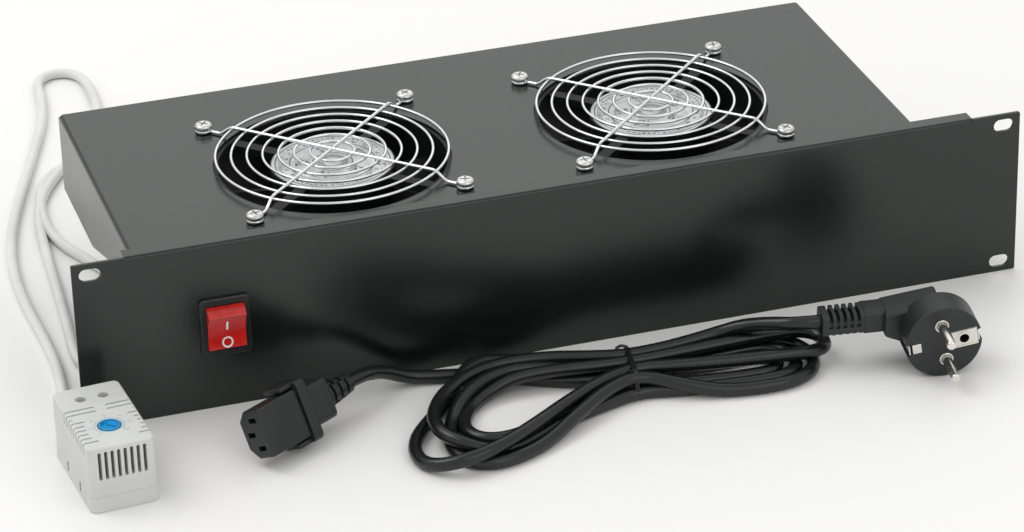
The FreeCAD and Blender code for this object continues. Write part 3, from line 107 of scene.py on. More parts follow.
LEAD_ROUTE = [
    (-0.11761, -0.02787, -0.02697), (-0.10741, -0.02155, -0.02697), (-0.0960, -0.0145, -0.0320),
    (-0.0840, -0.0115, -0.0390), (-0.0700, -0.0130, LOW), (-0.0560, -0.0165, LOW), (-0.0420, -0.0225, LOW),
    (-0.0270, -0.0315, LOW), (-0.0110, -0.0395, LOW), (0.0040, -0.0440, LOW), (0.0190, -0.0470, LOW),
    (0.0380, -0.0475, LOW), (0.0560, -0.0475, LOW), (0.0740, -0.0470, LOW), (0.0850, -0.0468, LOW),
    (0.0905, -0.0520, LOW), (0.0905, -0.0590, LOW), (0.0850, -0.0640, LOW), (0.0740, -0.0640, LOW),
    (0.0560, -0.0628, LOW), (0.0380, -0.0600, LOW), (0.0190, -0.0540, LOW), (0.0020, -0.0590, LOW),
    (-0.0190, -0.0670, LOW), (-0.0390, -0.0770, LOW), (-0.0550, -0.0820, LOW), (-0.0665, -0.0790, LOW),
    (-0.0715, -0.0690, LOW), (-0.0690, -0.0580, LOW), (-0.0620, -0.0470, LOW),
    (-0.0510, -0.0400, LOW + 0.002), (-0.0370, -0.0370, HIGH - 0.001), (-0.0180, -0.0385, HIGH),
    (0.0000, -0.0415, HIGH), (0.0190, -0.0435, HIGH), (0.0380, -0.0430, HIGH), (0.0580, -0.0420, HIGH),
    (0.0780, -0.0410, HIGH), (0.0950, -0.0405, HIGH), (0.1080, -0.0412, HIGH),
    (0.1165, -0.0470, HIGH - 0.001), (0.1165, -0.0570, HIGH - 0.002), (0.1080, -0.0625, HIGH - 0.001),
    (0.0950, -0.0625, HIGH), (0.0780, -0.0605, HIGH), (0.0580, -0.0575, HIGH), (0.0380, -0.0540, HIGH),
    (0.0190, -0.0500, HIGH), (-0.0010, -0.0570, HIGH), (-0.0210, -0.0700, HIGH), (-0.0410, -0.0845, HIGH),
    (-0.0600, -0.0970, HIGH), (-0.0760, -0.1030, HIGH - 0.001), (-0.0900, -0.1010, LOW + 0.003),
    (-0.0985, -0.0920, LOW), (-0.1000, -0.0800, LOW), (-0.0960, -0.0680, LOW), (-0.0880, -0.0570, LOW),
    (-0.0780, -0.0460, LOW), (-0.0680, -0.0350, LOW + 0.003), (-0.0580, -0.0230, HIGH),
    (-0.0480, -0.0150, HIGH - 0.001), (-0.0370, -0.0120, LOW + 0.002), (-0.0250, -0.0130, LOW),
    (-0.0120, -0.0185, LOW), (0.0030, -0.0270, LOW), (0.0190, -0.0333, LOW), (0.0380, -0.0337, LOW),
    (0.0580, -0.0334, LOW), (0.0780, -0.0330, LOW), (0.0920, -0.0335, LOW), (0.1030, -0.0385, LOW),
    (0.1085, -0.0480, LOW), (0.1085, -0.0610, LOW), (0.1030, -0.0710, LOW), (0.0900, -0.0770, LOW),
    (0.0740, -0.0770, LOW), (0.0560, -0.0740, LOW), (0.0380, -0.0680, LOW + 0.004), (0.0190, -0.0572, HIGH),
    (0.0010, -0.0640, HIGH - 0.0005), (-0.0190, -0.0785, LOW + 0.004), (-0.0380, -0.0920, LOW),
    (-0.0540, -0.1000, LOW), (-0.0680, -0.1025, LOW), (-0.0790, -0.0960, LOW), (-0.0825, -0.0840, LOW),
    (-0.0805, -0.0720, LOW), (-0.0760, -0.0600, LOW), (-0.0700, -0.0500, LOW + 0.003),
    (-0.0620, -0.0410, HIGH - 0.002), (-0.0500, -0.0345, HIGH), (-0.0360, -0.0305, HIGH),
    (-0.0200, -0.0310, HIGH - 0.002), (-0.0020, -0.0350, LOW + 0.002), (0.0190, -0.0402, LOW),
    (0.0380, -0.0406, LOW), (0.0580, -0.0403, LOW), (0.0760, -0.0400, LOW), (0.0880, -0.0400, LOW),
    (0.0975, -0.0455, LOW), (0.1005, -0.0555, LOW), (0.0975, -0.0655, LOW), (0.0880, -0.0708, LOW),
    (0.0740, -0.0708, LOW), (0.0560, -0.0693, LOW), (0.0370, -0.0660, LOW), (0.0190, -0.0610, LOW),
    (0.0000, -0.0665, LOW), (-0.0200, -0.0740, LOW), (-0.0380, -0.0840, LOW), (-0.0540, -0.0920, LOW),
    (-0.0680, -0.0935, LOW + 0.002), (-0.0795, -0.0880, HIGH - 0.001), (-0.0865, -0.0770, HIGH),
    (-0.0860, -0.0630, HIGH), (-0.0800, -0.0500, HIGH), (-0.0710, -0.0390, HIGH), (-0.0590, -0.0295, HIGH),
    (-0.0440, -0.0240, HIGH), (-0.0280, -0.0235, HIGH), (-0.0130, -0.0265, HIGH), (0.0010, -0.0315, HIGH),
    (0.0190, -0.0366, HIGH), (0.0370, -0.0362, HIGH), (0.0540, -0.0350, -0.0330),
    (0.0680, -0.0350, -0.0310), (0.0790, -0.0390, -0.0270), (0.0890, -0.0490, -0.0225),
    (0.0991, -0.0591, -0.0196), (0.11103, -0.06081, -0.01963),
]


def nurbs(name, points, diameter):
    """A round cord along one smooth spline with the points as its control points."""
    line = bpy.data.curves.new(name, "CURVE")
    line.dimensions = "3D"
    line.bevel_depth = diameter / 2
    line.bevel_resolution = CORD_ROUND_STEPS
    line.resolution_u = CORD_LINE_STEPS
    line.use_fill_caps = True
    spline = line.splines.new("NURBS")
    spline.points.add(len(points) - 1)
    for control, place in zip(spline.points, points):
        control.co = (*place, 1)
    spline.order_u = 3
    spline.use_endpoint_u = True
    cord = bpy.data.objects.new(name, line)
    bpy.context.collection.objects.link(cord)
    return cord


def line_length(cord):
    """Length of the spline itself, without its thickness."""
    bare = cord.data.copy()
    bare.bevel_depth = 0
    line = bpy.data.objects.new("line", bare)
    mesh = bpy.data.meshes.new_from_object(line)
    ends = [[mesh.vertices[index].co for index in edge.vertices] for edge in mesh.edges]
    bpy.data.objects.remove(line)
    return sum((first - last).length for first, last in ends)


# Finishes: shader maths on sockets, and one method for every other node

class Wire:
    """An output of a node, with arithmetic."""

    def __init__(self, tree, socket):
        self.tree, self.socket = tree, socket

    def __add__(self, other):
        return self.tree.maths("ADD", self, other)

    def __sub__(self, other):
        return self.tree.maths("SUBTRACT", self, other)

    def __rsub__(self, other):
        return self.tree.maths("SUBTRACT", other, self)

    def __mul__(self, other):
        return self.tree.maths("MULTIPLY", self, other)

    def __gt__(self, other):
        return self.tree.maths("GREATER_THAN", self, other)

    __radd__, __rmul__ = __add__, __mul__

    def near(self, other, reach):
        return self.tree.maths("COMPARE", self, other, reach)


class Tree:
    """The nodes of a material or of the world."""

    def __init__(self, owner):
        owner.use_nodes = True
        self.nodes, self.links = owner.node_tree.nodes, owner.node_tree.links

    def join(self, value, socket):
        if isinstance(value, Wire):
            self.links.new(value.socket, socket)
        else:
            socket.default_value = (*value, 1) if socket.type == "RGBA" else value

    def node(self, kind, settings, values, out=0):
        made = self.nodes.new(kind)
        for name, setting in settings.items():
            setattr(made, name, setting)
        for name, value in values.items():
            self.join(value, made.inputs[name])
        return Wire(self, made.outputs[out])

    def maths(self, operation, *values):
        return self.node("ShaderNodeMath", {"operation": operation}, dict(enumerate(values)))


# Places of the colour sockets on a Mix node
MIX_AMOUNT, MIX_FIRST, MIX_SECOND, MIX_RESULT = 0, 6, 7, 2


class Finish(Tree):
    """A material whose patterns follow the object's own coordinates."""

    def __init__(self, name):
        self.material = bpy.data.materials.new(name)
        super().__init__(self.material)
        self.shader = self.nodes["Principled BSDF"]
        self.here = self.node("ShaderNodeTexCoord", {}, {}, "Object")

    def noise(self, scale, detail=2.0, rough=0.5):
        values = {"Vector": self.here, "Scale": scale, "Detail": detail, "Roughness": rough}
        return self.node("ShaderNodeTexNoise", {}, values)

    def ramp(self, amount, low, high):
        """Nought below low and one above high."""
        return self.node("ShaderNodeMapRange", {}, {"Value": amount, "From Min": low, "From Max": high})

    def mix(self, amount, first, second):
        values = {MIX_AMOUNT: amount, MIX_FIRST: first, MIX_SECOND: second}
        return self.node("ShaderNodeMix", {"data_type": "RGBA"}, values, MIX_RESULT)

    def axes(self):
        split = self.node("ShaderNodeSeparateXYZ", {}, {"Vector": self.here})
        return [Wire(self, socket) for socket in split.socket.node.outputs]

    def bump(self, height, depth, strength=1.0):
        return self.node("ShaderNodeBump", {}, {"Height": height, "Distance": depth, "Strength": strength})

    def give(self, **values):
        for name, value in values.items():
            self.join(value, self.shader.inputs[name.replace("_", " ")])
        return self.material


def powder_coat():
    """Black paint with a fine grain, pale specks and slow changes of tone and gloss."""
    finish = Finish("powder_coat")
    grain, broad, cloud = finish.noise(1500, 3, 0.6), finish.noise(260, 2), finish.noise(11, 3, 0.6)
    tint = finish.mix(finish.ramp(cloud, 0.35, 0.7), (0.0018, 0.0036, 0.0031), (0.0040, 0.0062, 0.0055))
    speck = finish.ramp(grain, 0.62, 0.75)
    return finish.give(Base_Color=finish.mix(speck * 0.5, tint, (0.032, 0.036, 0.034)),
                       Roughness=0.17 + 0.09 * broad + 0.06 * cloud,
                       Specular_IOR_Level=0.62, Specular_Tint=(0.94, 1.0, 0.955),
                       Normal=finish.bump(grain * 0.6 + broad * 0.4, 0.00007, 0.6))


def metal(name, colour, dark, rough, scale=500, depth=0.00002):
    """Plated or bare metal with fine mottling and slight wear."""
    finish = Finish(name)
    fine, broad = finish.noise(scale, 3), finish.noise(scale / 9, 2)
    return finish.give(Base_Color=finish.mix(finish.ramp(broad, 0.3, 0.75), colour, dark), Metallic=1.0,
                       Roughness=rough * 0.8 + rough * 0.4 * fine, Normal=finish.bump(fine, depth, 0.6))


def moulded(name, colour, rough, grain=900, depth=0.00003, shift=0.18, coat=0.0, gloss=0.5):
    """Moulded plastic or rubber with a fine grain and slightly uneven colour."""
    finish = Finish(name)
    fine, broad = finish.noise(grain, 2), finish.noise(40, 3)
    darker, lighter = (tuple(part * (1 + way * shift) for part in colour) for way in (-1, 1))
    return finish.give(Base_Color=finish.mix(finish.ramp(broad, 0.3, 0.7), darker, lighter),
                       Roughness=rough * 0.85 + rough * 0.3 * fine, Coat_Weight=coat,
                       Specular_IOR_Level=gloss, Normal=finish.bump(fine, depth, 0.7))


def hub_foil(centres):
    """Silver foil discs with plain printed rings and bars about each hub's middle."""
    finish = Finish("hub_foil")
    x, y, _ = finish.axes()
    (first, middle_y), (second, _) = centres
    right_side = x > (first + second) / 2
    dx, dy = x - (first + (second - first) * right_side), y - middle_y
    reach, angle = finish.maths("SQRT", dx * dx + dy * dy), finish.maths("ARCTAN2", dy, dx)

    def ring(radius, half_width):
        return reach.near(radius * MM, half_width * MM)

    bars, dashes, blocks = (finish.maths("SINE", angle * count) for count in (64, 24, 5))
    bars, dashes, blocks = bars > -0.2, dashes > 0.0, blocks > 0.35
    worn = finish.ramp(finish.noise(1000, 3), 0.46, 0.54)
    printed = (ring(28.4, 0.3) + ring(26.2, 0.9) * bars * worn + ring(23.6, 1.0) * dashes * worn
               + ring(21.2, 0.3) + ring(15.0, 3.6) * blocks * worn + ring(9.8, 0.3)
               + ring(6.2, 1.6) * bars + ring(0.0, 1.2))
    ink = finish.maths("MINIMUM", printed, 1.0)
    crinkle = finish.noise(160, 3)
    foil = finish.mix(crinkle, (0.42, 0.43, 0.43), (0.78, 0.79, 0.79))
    return finish.give(Base_Color=finish.mix(ink * 0.86, foil, (0.02, 0.02, 0.021)),
                       Metallic=0.9 - 0.5 * ink, Roughness=0.26 + 0.14 * crinkle,
                       Normal=finish.bump(crinkle, 0.0004, 0.5))


def red_key():
    """Translucent red plastic with a thin clear gloss."""
    finish = Finish("red_key")
    swirl, fine = finish.noise(130, 3), finish.noise(1200)
    tone = finish.mix(finish.ramp(swirl, 0.3, 0.75), (0.40, 0.005, 0.004), (0.60, 0.014, 0.009))
    return finish.give(Base_Color=tone, Roughness=0.2 + 0.1 * fine, Coat_Weight=0.3, Subsurface_Weight=0.12,
                       Subsurface_Radius=(0.004, 0.001, 0.0008), Normal=finish.bump(fine, 0.00001))


FINISHES = {
    "black_paint": powder_coat(),
    "zinc": metal("zinc_plate", (0.74, 0.74, 0.72), (0.56, 0.57, 0.57), 0.3),
    "fan_casting": moulded("fan_casting", (0.006, 0.007, 0.007), 0.5, 700, 0.00006, gloss=0.3),
    "fan_plastic": moulded("fan_plastic", (0.004, 0.0045, 0.005), 0.5, gloss=0.25),
    "steel": metal("turned_steel", (0.62, 0.62, 0.62), (0.5, 0.5, 0.5), 0.28),
    "bearing_bronze": metal("bearing_bronze", (0.55, 0.34, 0.16), (0.42, 0.25, 0.12), 0.42),
    "stator_steel": metal("stator_stack", (0.34, 0.35, 0.36), (0.22, 0.22, 0.23), 0.5, 300),
    "guard_chrome": metal("guard_chrome", (0.86, 0.87, 0.88), (0.74, 0.75, 0.77), 0.16, 700, 0.00001),
    "black_plastic": moulded("black_plastic", (0.009, 0.010, 0.0105), 0.3, 900, 0.00002),
    "red_plastic": red_key(),
    "brass_tin": metal("tinned_brass", (0.70, 0.68, 0.60), (0.55, 0.52, 0.44), 0.36),
    "grey_plastic": moulded("gland_grey", (0.22, 0.225, 0.23), 0.5),
    "stat_plastic": moulded("stat_plastic", (0.56, 0.57, 0.55), 0.5, 800, 0.00005, 0.05),
    "blue_plastic": moulded("blue_plastic", (0.008, 0.24, 0.52), 0.28, 900, 0.00001, 0.2, 0.3),
    "white_cable": moulded("white_sheath", (0.66, 0.665, 0.65), 0.42, 350, 0.00006, 0.06),
    "black_rubber": moulded("black_moulding", (0.011, 0.013, 0.0135), 0.42, 1000, 0.00004),
    "black_cable": moulded("black_sheath", (0.0055, 0.0065, 0.0070), 0.27, 300, 0.00005),
    "tie_plastic": moulded("tie_plastic", (0.008, 0.008, 0.009), 0.35),
    "pin_metal": metal("nickel_plate", (0.80, 0.78, 0.73), (0.64, 0.62, 0.57), 0.24),
    "white_mark": moulded("white_mark", (0.82, 0.80, 0.78), 0.4),
    "dial_print": moulded("dial_print", (0.08, 0.30, 0.46), 0.5),
}


# Modelling steps, with sizes and places in millimetres

ALONG = {"x": (0, 90, 0), "y": (-90, 0, 0), "z": (0, 0, 0)}


def mm(*place):
    return Vector(place) * MM


def radians(turn):
    return [math.radians(angle) for angle in turn]


def moved(*place):
    return Matrix.Translation(mm(*place))


def turned(angle, axis):
    return Matrix.Rotation(math.radians(angle), 4, axis)


def alone(piece=None):
    bpy.ops.object.select_all(action="DESELECT")
    if piece:
        piece.select_set(True)
        bpy.context.view_layer.objects.active = piece


def applied(piece):
    alone(piece)
    bpy.ops.object.transform_apply(location=True, rotation=True, scale=True)
    return piece


def brick(size, at, turn=(0, 0, 0)):
    alone()
    bpy.ops.mesh.primitive_cube_add(size=1, location=mm(*at), rotation=radians(turn))
    bpy.context.object.scale = mm(*size)
    return applied(bpy.context.object)


def fine_brick(size, at, cuts):
    """A brick with enough cuts to follow a curved face."""
    alone(brick(size, at))
    bpy.ops.object.mode_set(mode="EDIT")
    bpy.ops.mesh.select_all(action="SELECT")
    bpy.ops.mesh.subdivide(number_cuts=cuts)
    bpy.ops.object.mode_set(mode="OBJECT")
    return bpy.context.object


def rod(radius, start, length, along="z", sides=64, second=None):
    """A cylinder or cone from its start."""
    alone()
    shift = Vector([length / 2 if axis == along else 0 for axis in "xyz"])
    far_radius = radius if second is None else second
    bpy.ops.mesh.primitive_cone_add(vertices=sides, radius1=radius * MM, radius2=far_radius * MM,
                                    depth=length * MM, location=(Vector(start) + shift) * MM,
                                    rotation=radians(ALONG[along]))
    return applied(bpy.context.object)


def hoop(radius, wire_radius, at, along="z", round_steps=72, wire_steps=10):
    alone()
    bpy.ops.mesh.primitive_torus_add(major_radius=radius * MM, minor_radius=wire_radius * MM,
                                     major_segments=round_steps, minor_segments=wire_steps,
                                     location=mm(*at), rotation=radians(ALONG[along]))
    return applied(bpy.context.object)


def wire(points, radius, closed=False, steps=6):
    """A bent wire through its control points, as a mesh."""
    line = bpy.data.curves.new("wire", "CURVE")
    line.dimensions = "3D"
    line.bevel_depth = radius * MM
    line.bevel_resolution = 3
    line.resolution_u = steps
    line.use_fill_caps = not closed
    spline = line.splines.new("NURBS")
    spline.points.add(len(points) - 1)
    for control, place in zip(spline.points, points):
        control.co = (*mm(*place), 1)
    spline.order_u = 3
    spline.use_endpoint_u, spline.use_cyclic_u = not closed, closed
    made = bpy.data.objects.new("wire", line)
    bpy.context.collection.objects.link(made)
    alone(made)
    bpy.ops.object.convert(target="MESH")
    return bpy.context.object


def letters(text, size, at, thick):
    alone()
    bpy.ops.object.text_add(location=mm(*at))
    sign = bpy.context.object
    sign.data.body = text
    sign.data.size = size * MM
    sign.data.extrude = thick * MM
    sign.data.align_x = sign.data.align_y = "CENTER"
    bpy.ops.object.convert(target="MESH")
    return applied(bpy.context.object)


def joined(*pieces):
    alone(pieces[0])
    for piece in pieces:
        piece.select_set(True)
    bpy.ops.object.join()
    return bpy.context.object


def worked(piece, tool, operation):
    alone(piece)
    step = piece.modifiers.new("step", "BOOLEAN")
    step.operation, step.object, step.solver = operation, tool, "EXACT"
    bpy.ops.object.modifier_apply(modifier=step.name)
    bpy.data.objects.remove(tool)
    return piece


def carved(piece, *tools):
    """Cut each tool away in turn, because tools that overlap spoil a cut when joined."""
    for tool in tools:
        worked(piece, tool, "DIFFERENCE")
    return piece


def welded(piece, *others):
    for other in others:
        worked(piece, other, "UNION")
    return piece


def running(axis):
    """Chooses the edges along an axis."""
    return lambda middle, way: abs(getattr(way, axis)) > 0.9


def across(axis):
    """Chooses the edges square to an axis."""
    return lambda middle, way: abs(getattr(way, axis)) < 0.5


def level_at(axis, place):
    """Chooses the edges whose middle is at a place on an axis."""
    return lambda middle, way: abs(getattr(middle, axis) - place) < 0.01


def softened(piece, width, steps=3, *choices, sharp=35):
    """Round the edges that fit every choice, or with none all edges sharper than an angle."""
    alone(piece)
    if not choices:
        step = piece.modifiers.new("step", "BEVEL")
        step.width = width * MM
        step.segments = steps
        step.limit_method = "ANGLE"
        step.angle_limit = math.radians(sharp)
        step.use_clamp_overlap = True
        bpy.ops.object.modifier_apply(modifier=step.name)
        return piece
    bpy.context.tool_settings.mesh_select_mode = (False, True, False)
    mesh = piece.data
    for part in (*mesh.vertices, *mesh.polygons):
        part.select = False
    for edge in mesh.edges:
        first, last = (mesh.vertices[index].co / MM for index in edge.vertices)
        middle, way = (first + last) / 2, (last - first).normalized()
        edge.select = all(fits(middle, way) for fits in choices)
    bpy.ops.object.mode_set(mode="EDIT")
    bpy.ops.mesh.bevel(offset=width * MM, segments=steps, affect="EDGES")
    bpy.ops.object.mode_set(mode="OBJECT")
    return piece


def finished(piece, name, body, slot, nodes=(), place=None, smooth=32, finish=None):
    """Set a piece in its place, smooth it, and give it its finish and its body."""
    if place is not None:
        piece.data.transform(place)
    alone(piece)
    bpy.ops.object.shade_smooth_by_angle(angle=math.radians(smooth))
    flats = piece.modifiers.new("flats", "WEIGHTED_NORMAL")
    flats.weight, flats.keep_sharp = 80, True
    bpy.ops.object.modifier_apply(modifier=flats.name)
    piece.name = name
    piece.data.name = name
    piece.data.materials.clear()
    piece.data.materials.append(FINISHES[finish or slot])
    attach(piece, body)
    if nodes:
        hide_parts(*nodes)


# Front panel with its folded lip

SHEET = 1.5
PANEL_WIDTH, PANEL_TOP, PANEL_CORNER = 482.6, 44.05, 0.8
LIP_WIDTH, LIP_DEPTH, LIP_DROP = 431.5, 8.5, 6
FOLD_OUTSIDE, FOLD_INSIDE = 2, 0.5
SLOT_ASIDE, SLOT_UP, SLOT_RADIUS, SLOT_STRAIGHT = 232.55, 38.1, 3.25, 4
SWITCH_X, SWITCH_OPENING_WIDTH, SWITCH_OPENING_HEIGHT = -169.5, 22.2, 28.6
PAINTED_EDGE = 0.22
TOOL_REACH = 15


def add_panel():
    panel = brick((PANEL_WIDTH, SHEET, 2 * PANEL_TOP), (0, SHEET / 2, 0))
    softened(panel, PANEL_CORNER, 3, running("y"))
    carved(panel, brick((LIP_WIDTH, TOOL_REACH, 2 * LIP_DROP), (0, 0, PANEL_TOP)))
    fold = brick((LIP_WIDTH, LIP_DEPTH, LIP_DROP), (0, LIP_DEPTH / 2, PANEL_TOP - LIP_DROP / 2))
    softened(fold, FOLD_OUTSIDE, 6, running("x"), level_at("y", 0), level_at("z", PANEL_TOP))
    hollow_size, under_lip = 2 * LIP_DROP, PANEL_TOP - SHEET
    hollow = brick((LIP_WIDTH + TOOL_REACH, hollow_size, hollow_size),
                   (0, SHEET + hollow_size / 2, under_lip - hollow_size / 2))
    softened(hollow, FOLD_INSIDE, 3, running("x"), level_at("y", SHEET), level_at("z", under_lip))
    welded(panel, carved(fold, hollow))
    for x in (-SLOT_ASIDE, SLOT_ASIDE):
        for z in (-SLOT_UP, SLOT_UP):
            ends = [rod(SLOT_RADIUS, (x + way * SLOT_STRAIGHT / 2, -TOOL_REACH / 3, z), TOOL_REACH, "y", 40)
                    for way in (-1, 1)]
            carved(panel, *ends, brick((SLOT_STRAIGHT, TOOL_REACH, 2 * SLOT_RADIUS), (x, 0, z)))
    carved(panel, brick((SWITCH_OPENING_WIDTH, TOOL_REACH, SWITCH_OPENING_HEIGHT), (SWITCH_X, 0, 0)))
    softened(panel, PAINTED_EDGE, 2, sharp=50)
    finished(panel, "face_panel", "tray", "black_paint", ["front_panel"], smooth=30)


# Fan guards: round wire rings, two bent spokes each, and eyelets under the screws

FANS = {"left": (-95.0, 71.0), "right": (71.0, 71.0)}
BOX_TOP = PANEL_TOP - SHEET
HOLE_PITCH = 105.0
RING_COUNT, RING_RADIUS, RING_STEP, RING_WIRE, RING_LIFT = 7, 57.5, 7.75, 0.74, 4.5
EYELET_RADIUS, EYELET_WIRE, EYELET_LIFT = 3.35, 1.05, 1.1
SPOKE_WIRE, SPOKE_LIFT = 0.87, 5.84
# A spoke goes inwards from its eyelet, rises, and is flat from just outside the outer ring
EYELET_EDGE = HOLE_PITCH / math.sqrt(2) - 4.4
SPOKE_STOPS = ((EYELET_EDGE + 1.1, EYELET_LIFT), (EYELET_EDGE - 3.5, EYELET_LIFT),
               (EYELET_EDGE - 6.2, EYELET_LIFT), (RING_RADIUS + 0.7, SPOKE_LIFT),
               (RING_RADIUS - 3.5, SPOKE_LIFT), (27, SPOKE_LIFT))


def fan_corners(side):
    x, y = FANS[side]
    return [(x + along * HOLE_PITCH / 2, y + back * HOLE_PITCH / 2) for along in (-1, 1) for back in (-1, 1)]


def add_guard(side):
    rings = [hoop(RING_RADIUS - RING_STEP * number, RING_WIRE, (*FANS[side], BOX_TOP + RING_LIFT),
                  round_steps=96 - 10 * number) for number in range(RING_COUNT)]
    eyelets = [hoop(EYELET_RADIUS, EYELET_WIRE, (*corner, BOX_TOP + EYELET_LIFT), round_steps=28)
               for corner in fan_corners(side)]
    far_half = [(-reach, lift) for reach, lift in reversed(SPOKE_STOPS)]
    spokes = []
    for angle in (45, 135):
        way = Vector((math.cos(math.radians(angle)), math.sin(math.radians(angle)), 0))
        places = [Vector((*FANS[side], BOX_TOP + lift)) + way * reach
                  for reach, lift in (*SPOKE_STOPS, (0, SPOKE_LIFT), *far_half)]
        spokes.append(wire(places, SPOKE_WIRE))
    finished(joined(*rings, *eyelets, *spokes), f"wire_guard_{side}", "tray", "guard_chrome",
             [f"guard_{side}"], smooth=60)


SCREW_HEAD_RADIUS, SCREW_HEAD_HEIGHT, SCREW_RADIUS, SCREW_LENGTH = 4.4, 2.6, 2, 11.9
SCREW_INTO_HEAD = 0.1
RECESS_LENGTH, RECESS_WIDTH, RECESS_DEPTH, RECESS_RADIUS, RECESS_BOTTOM = 5.06, 0.9, 1.1, 0.5, 1.5
SCREW_TURNS = (12, 48, 75, 30, 5, 62, 39, 81)


def pan_head(turn):
    """A pan head with its cross recess, by the middle of its underside."""
    top = (0, 0, SCREW_HEAD_HEIGHT)
    head = rod(SCREW_HEAD_RADIUS, (0, 0, 0), SCREW_HEAD_HEIGHT, sides=40)
    softened(head, 0.6 * SCREW_HEAD_HEIGHT, 5, level_at("z", SCREW_HEAD_HEIGHT))
    return carved(head, brick((RECESS_LENGTH, RECESS_WIDTH, 2 * RECESS_DEPTH), top, (0, 0, turn)),
                  rod(RECESS_RADIUS, (0, 0, SCREW_HEAD_HEIGHT - RECESS_BOTTOM), 2, sides=12),
                  brick((RECESS_WIDTH, RECESS_LENGTH, 2 * RECESS_DEPTH), top, (0, 0, turn)))


def add_guard_screws():
    screws = []
    corners = [corner for side in FANS for corner in fan_corners(side)]
    for corner, turn in zip(corners, SCREW_TURNS):
        head, under_head = pan_head(turn), BOX_TOP + 2 * EYELET_LIFT
        head.data.transform(moved(*corner, under_head))
        shank_start = under_head + SCREW_INTO_HEAD - SCREW_LENGTH
        screws += [head, rod(SCREW_RADIUS, (*corner, shank_start), SCREW_LENGTH, sides=24)]
    finished(joined(*screws), "guard_screw_heads", "tray", "zinc", ["guard_screws"], smooth=40)


# Impellers: a bell, a boss and curved blades, by the middle of the fan's underside

BELL_RADIUS, BELL_START, BELL_DEPTH, BELL_WALL, BELL_EDGE = 30, 4.35, 29, 2.5, 2.2
BOSS_RADIUS, BOSS_START, BOSS_LENGTH, SHAFT_RADIUS = 5, 5, 7, 2.0
BLADE_COUNT, BLADE_START, BLADE_LENGTH = 7, 29.2, 26.4
BLADE_PITCH, BLADE_TWIST = 47, 12
BLADE_CHORD, BLADE_WIDENING, BLADE_BOW, BLADE_THICKNESS = 15.0, 1.8, 2.4, 1.5
BLADE_LEVEL, BLADE_HALF_HEIGHT = 18.85, 11.6


def add_blade(number):
    """A grid laid out from the hub to the tip, pitched, bowed and cut level at both edges."""
    alone()
    bpy.ops.mesh.primitive_grid_add(x_subdivisions=7, y_subdivisions=9, size=1)
    blade = bpy.context.object
    for corner in blade.data.vertices:
        outwards, along = corner.co.x + 0.5, corner.co.y * 2
        reach = BLADE_START + BLADE_LENGTH * outwards
        pitch = math.radians(BLADE_PITCH - BLADE_TWIST * outwards)
        chord = BLADE_CHORD + BLADE_WIDENING * outwards
        bow = BLADE_BOW * (1 - along * along)
        around = (along * chord * math.cos(pitch) + bow * math.sin(pitch)) / reach
        around += math.radians(360 / BLADE_COUNT * number)
        level = along * chord * math.sin(pitch) - bow * math.cos(pitch)
        level = min(BLADE_HALF_HEIGHT, max(-BLADE_HALF_HEIGHT, level))
        corner.co = mm(reach * math.cos(around), reach * math.sin(around), BLADE_LEVEL + level)
    step = blade.modifiers.new("step", "SOLIDIFY")
    step.thickness, step.offset = BLADE_THICKNESS * MM, 0
    bpy.ops.object.modifier_apply(modifier=step.name)
    bpy.ops.object.mode_set(mode="EDIT")
    bpy.ops.mesh.select_all(action="SELECT")
    bpy.ops.mesh.normals_make_consistent(inside=False)
    bpy.ops.object.mode_set(mode="OBJECT")
    return blade


def add_rotor(side):
    bell = softened(rod(BELL_RADIUS, (0, 0, BELL_START), BELL_DEPTH, sides=96), BELL_EDGE, 4,
                    level_at("z", BELL_START))
    carved(bell, rod(BELL_RADIUS - BELL_WALL, (0, 0, BELL_START + BELL_WALL), 40, sides=96))
    boss = carved(rod(BOSS_RADIUS, (0, 0, BOSS_START), BOSS_LENGTH, sides=32),
                  rod(SHAFT_RADIUS, (0, 0, 0), 20, sides=24))
    blades = [add_blade(number) for number in range(BLADE_COUNT)]
    finished(joined(bell, boss, *blades), f"impeller_{side}", f"fan_{side}", "fan_plastic",
             [f"fan_rotor_{side}"], moved(*FANS[side], 0))


# Rocker switch: its frame in the panel, and its key with I and O

FRAME_WIDTH, FRAME_HEIGHT, FRAME_THICKNESS, FRAME_CORNER, FRAME_EDGE = 25, 31, 2, 2.5, 0.9
BARREL_WIDTH, BARREL_DEPTH, BARREL_HEIGHT, BARREL_EDGE = 21.8, 18, 28.2, 0.8
KEY_ROOM_WIDTH, KEY_ROOM_DEPTH, KEY_ROOM_HEIGHT = 18.9, 15.5, 24.1
KEY_WIDTH, KEY_RADIUS, KEY_FRONT, KEY_BACK, KEY_EDGE, KEY_TILT = 18.4, 11.8, 7.2, 3, 0.8, 10
DISH_RADIUS, DISH_AWAY = 23, 28.2
PIVOT_DEPTH, PIVOT_RADIUS, PIVOT_LENGTH, PIVOT_HOLE_RADIUS, PIVOT_HOLE_LENGTH = 1, 1.45, 20.2, 1.55, 20.7
RING_MARK_RADIUS, RING_MARK_WIRE, RING_MARK_DOWN = 2.35, 0.42, 6.4
BAR_MARK_SIZE, BAR_MARK_UP = (0.95, 0.7, 5.0), 3.1


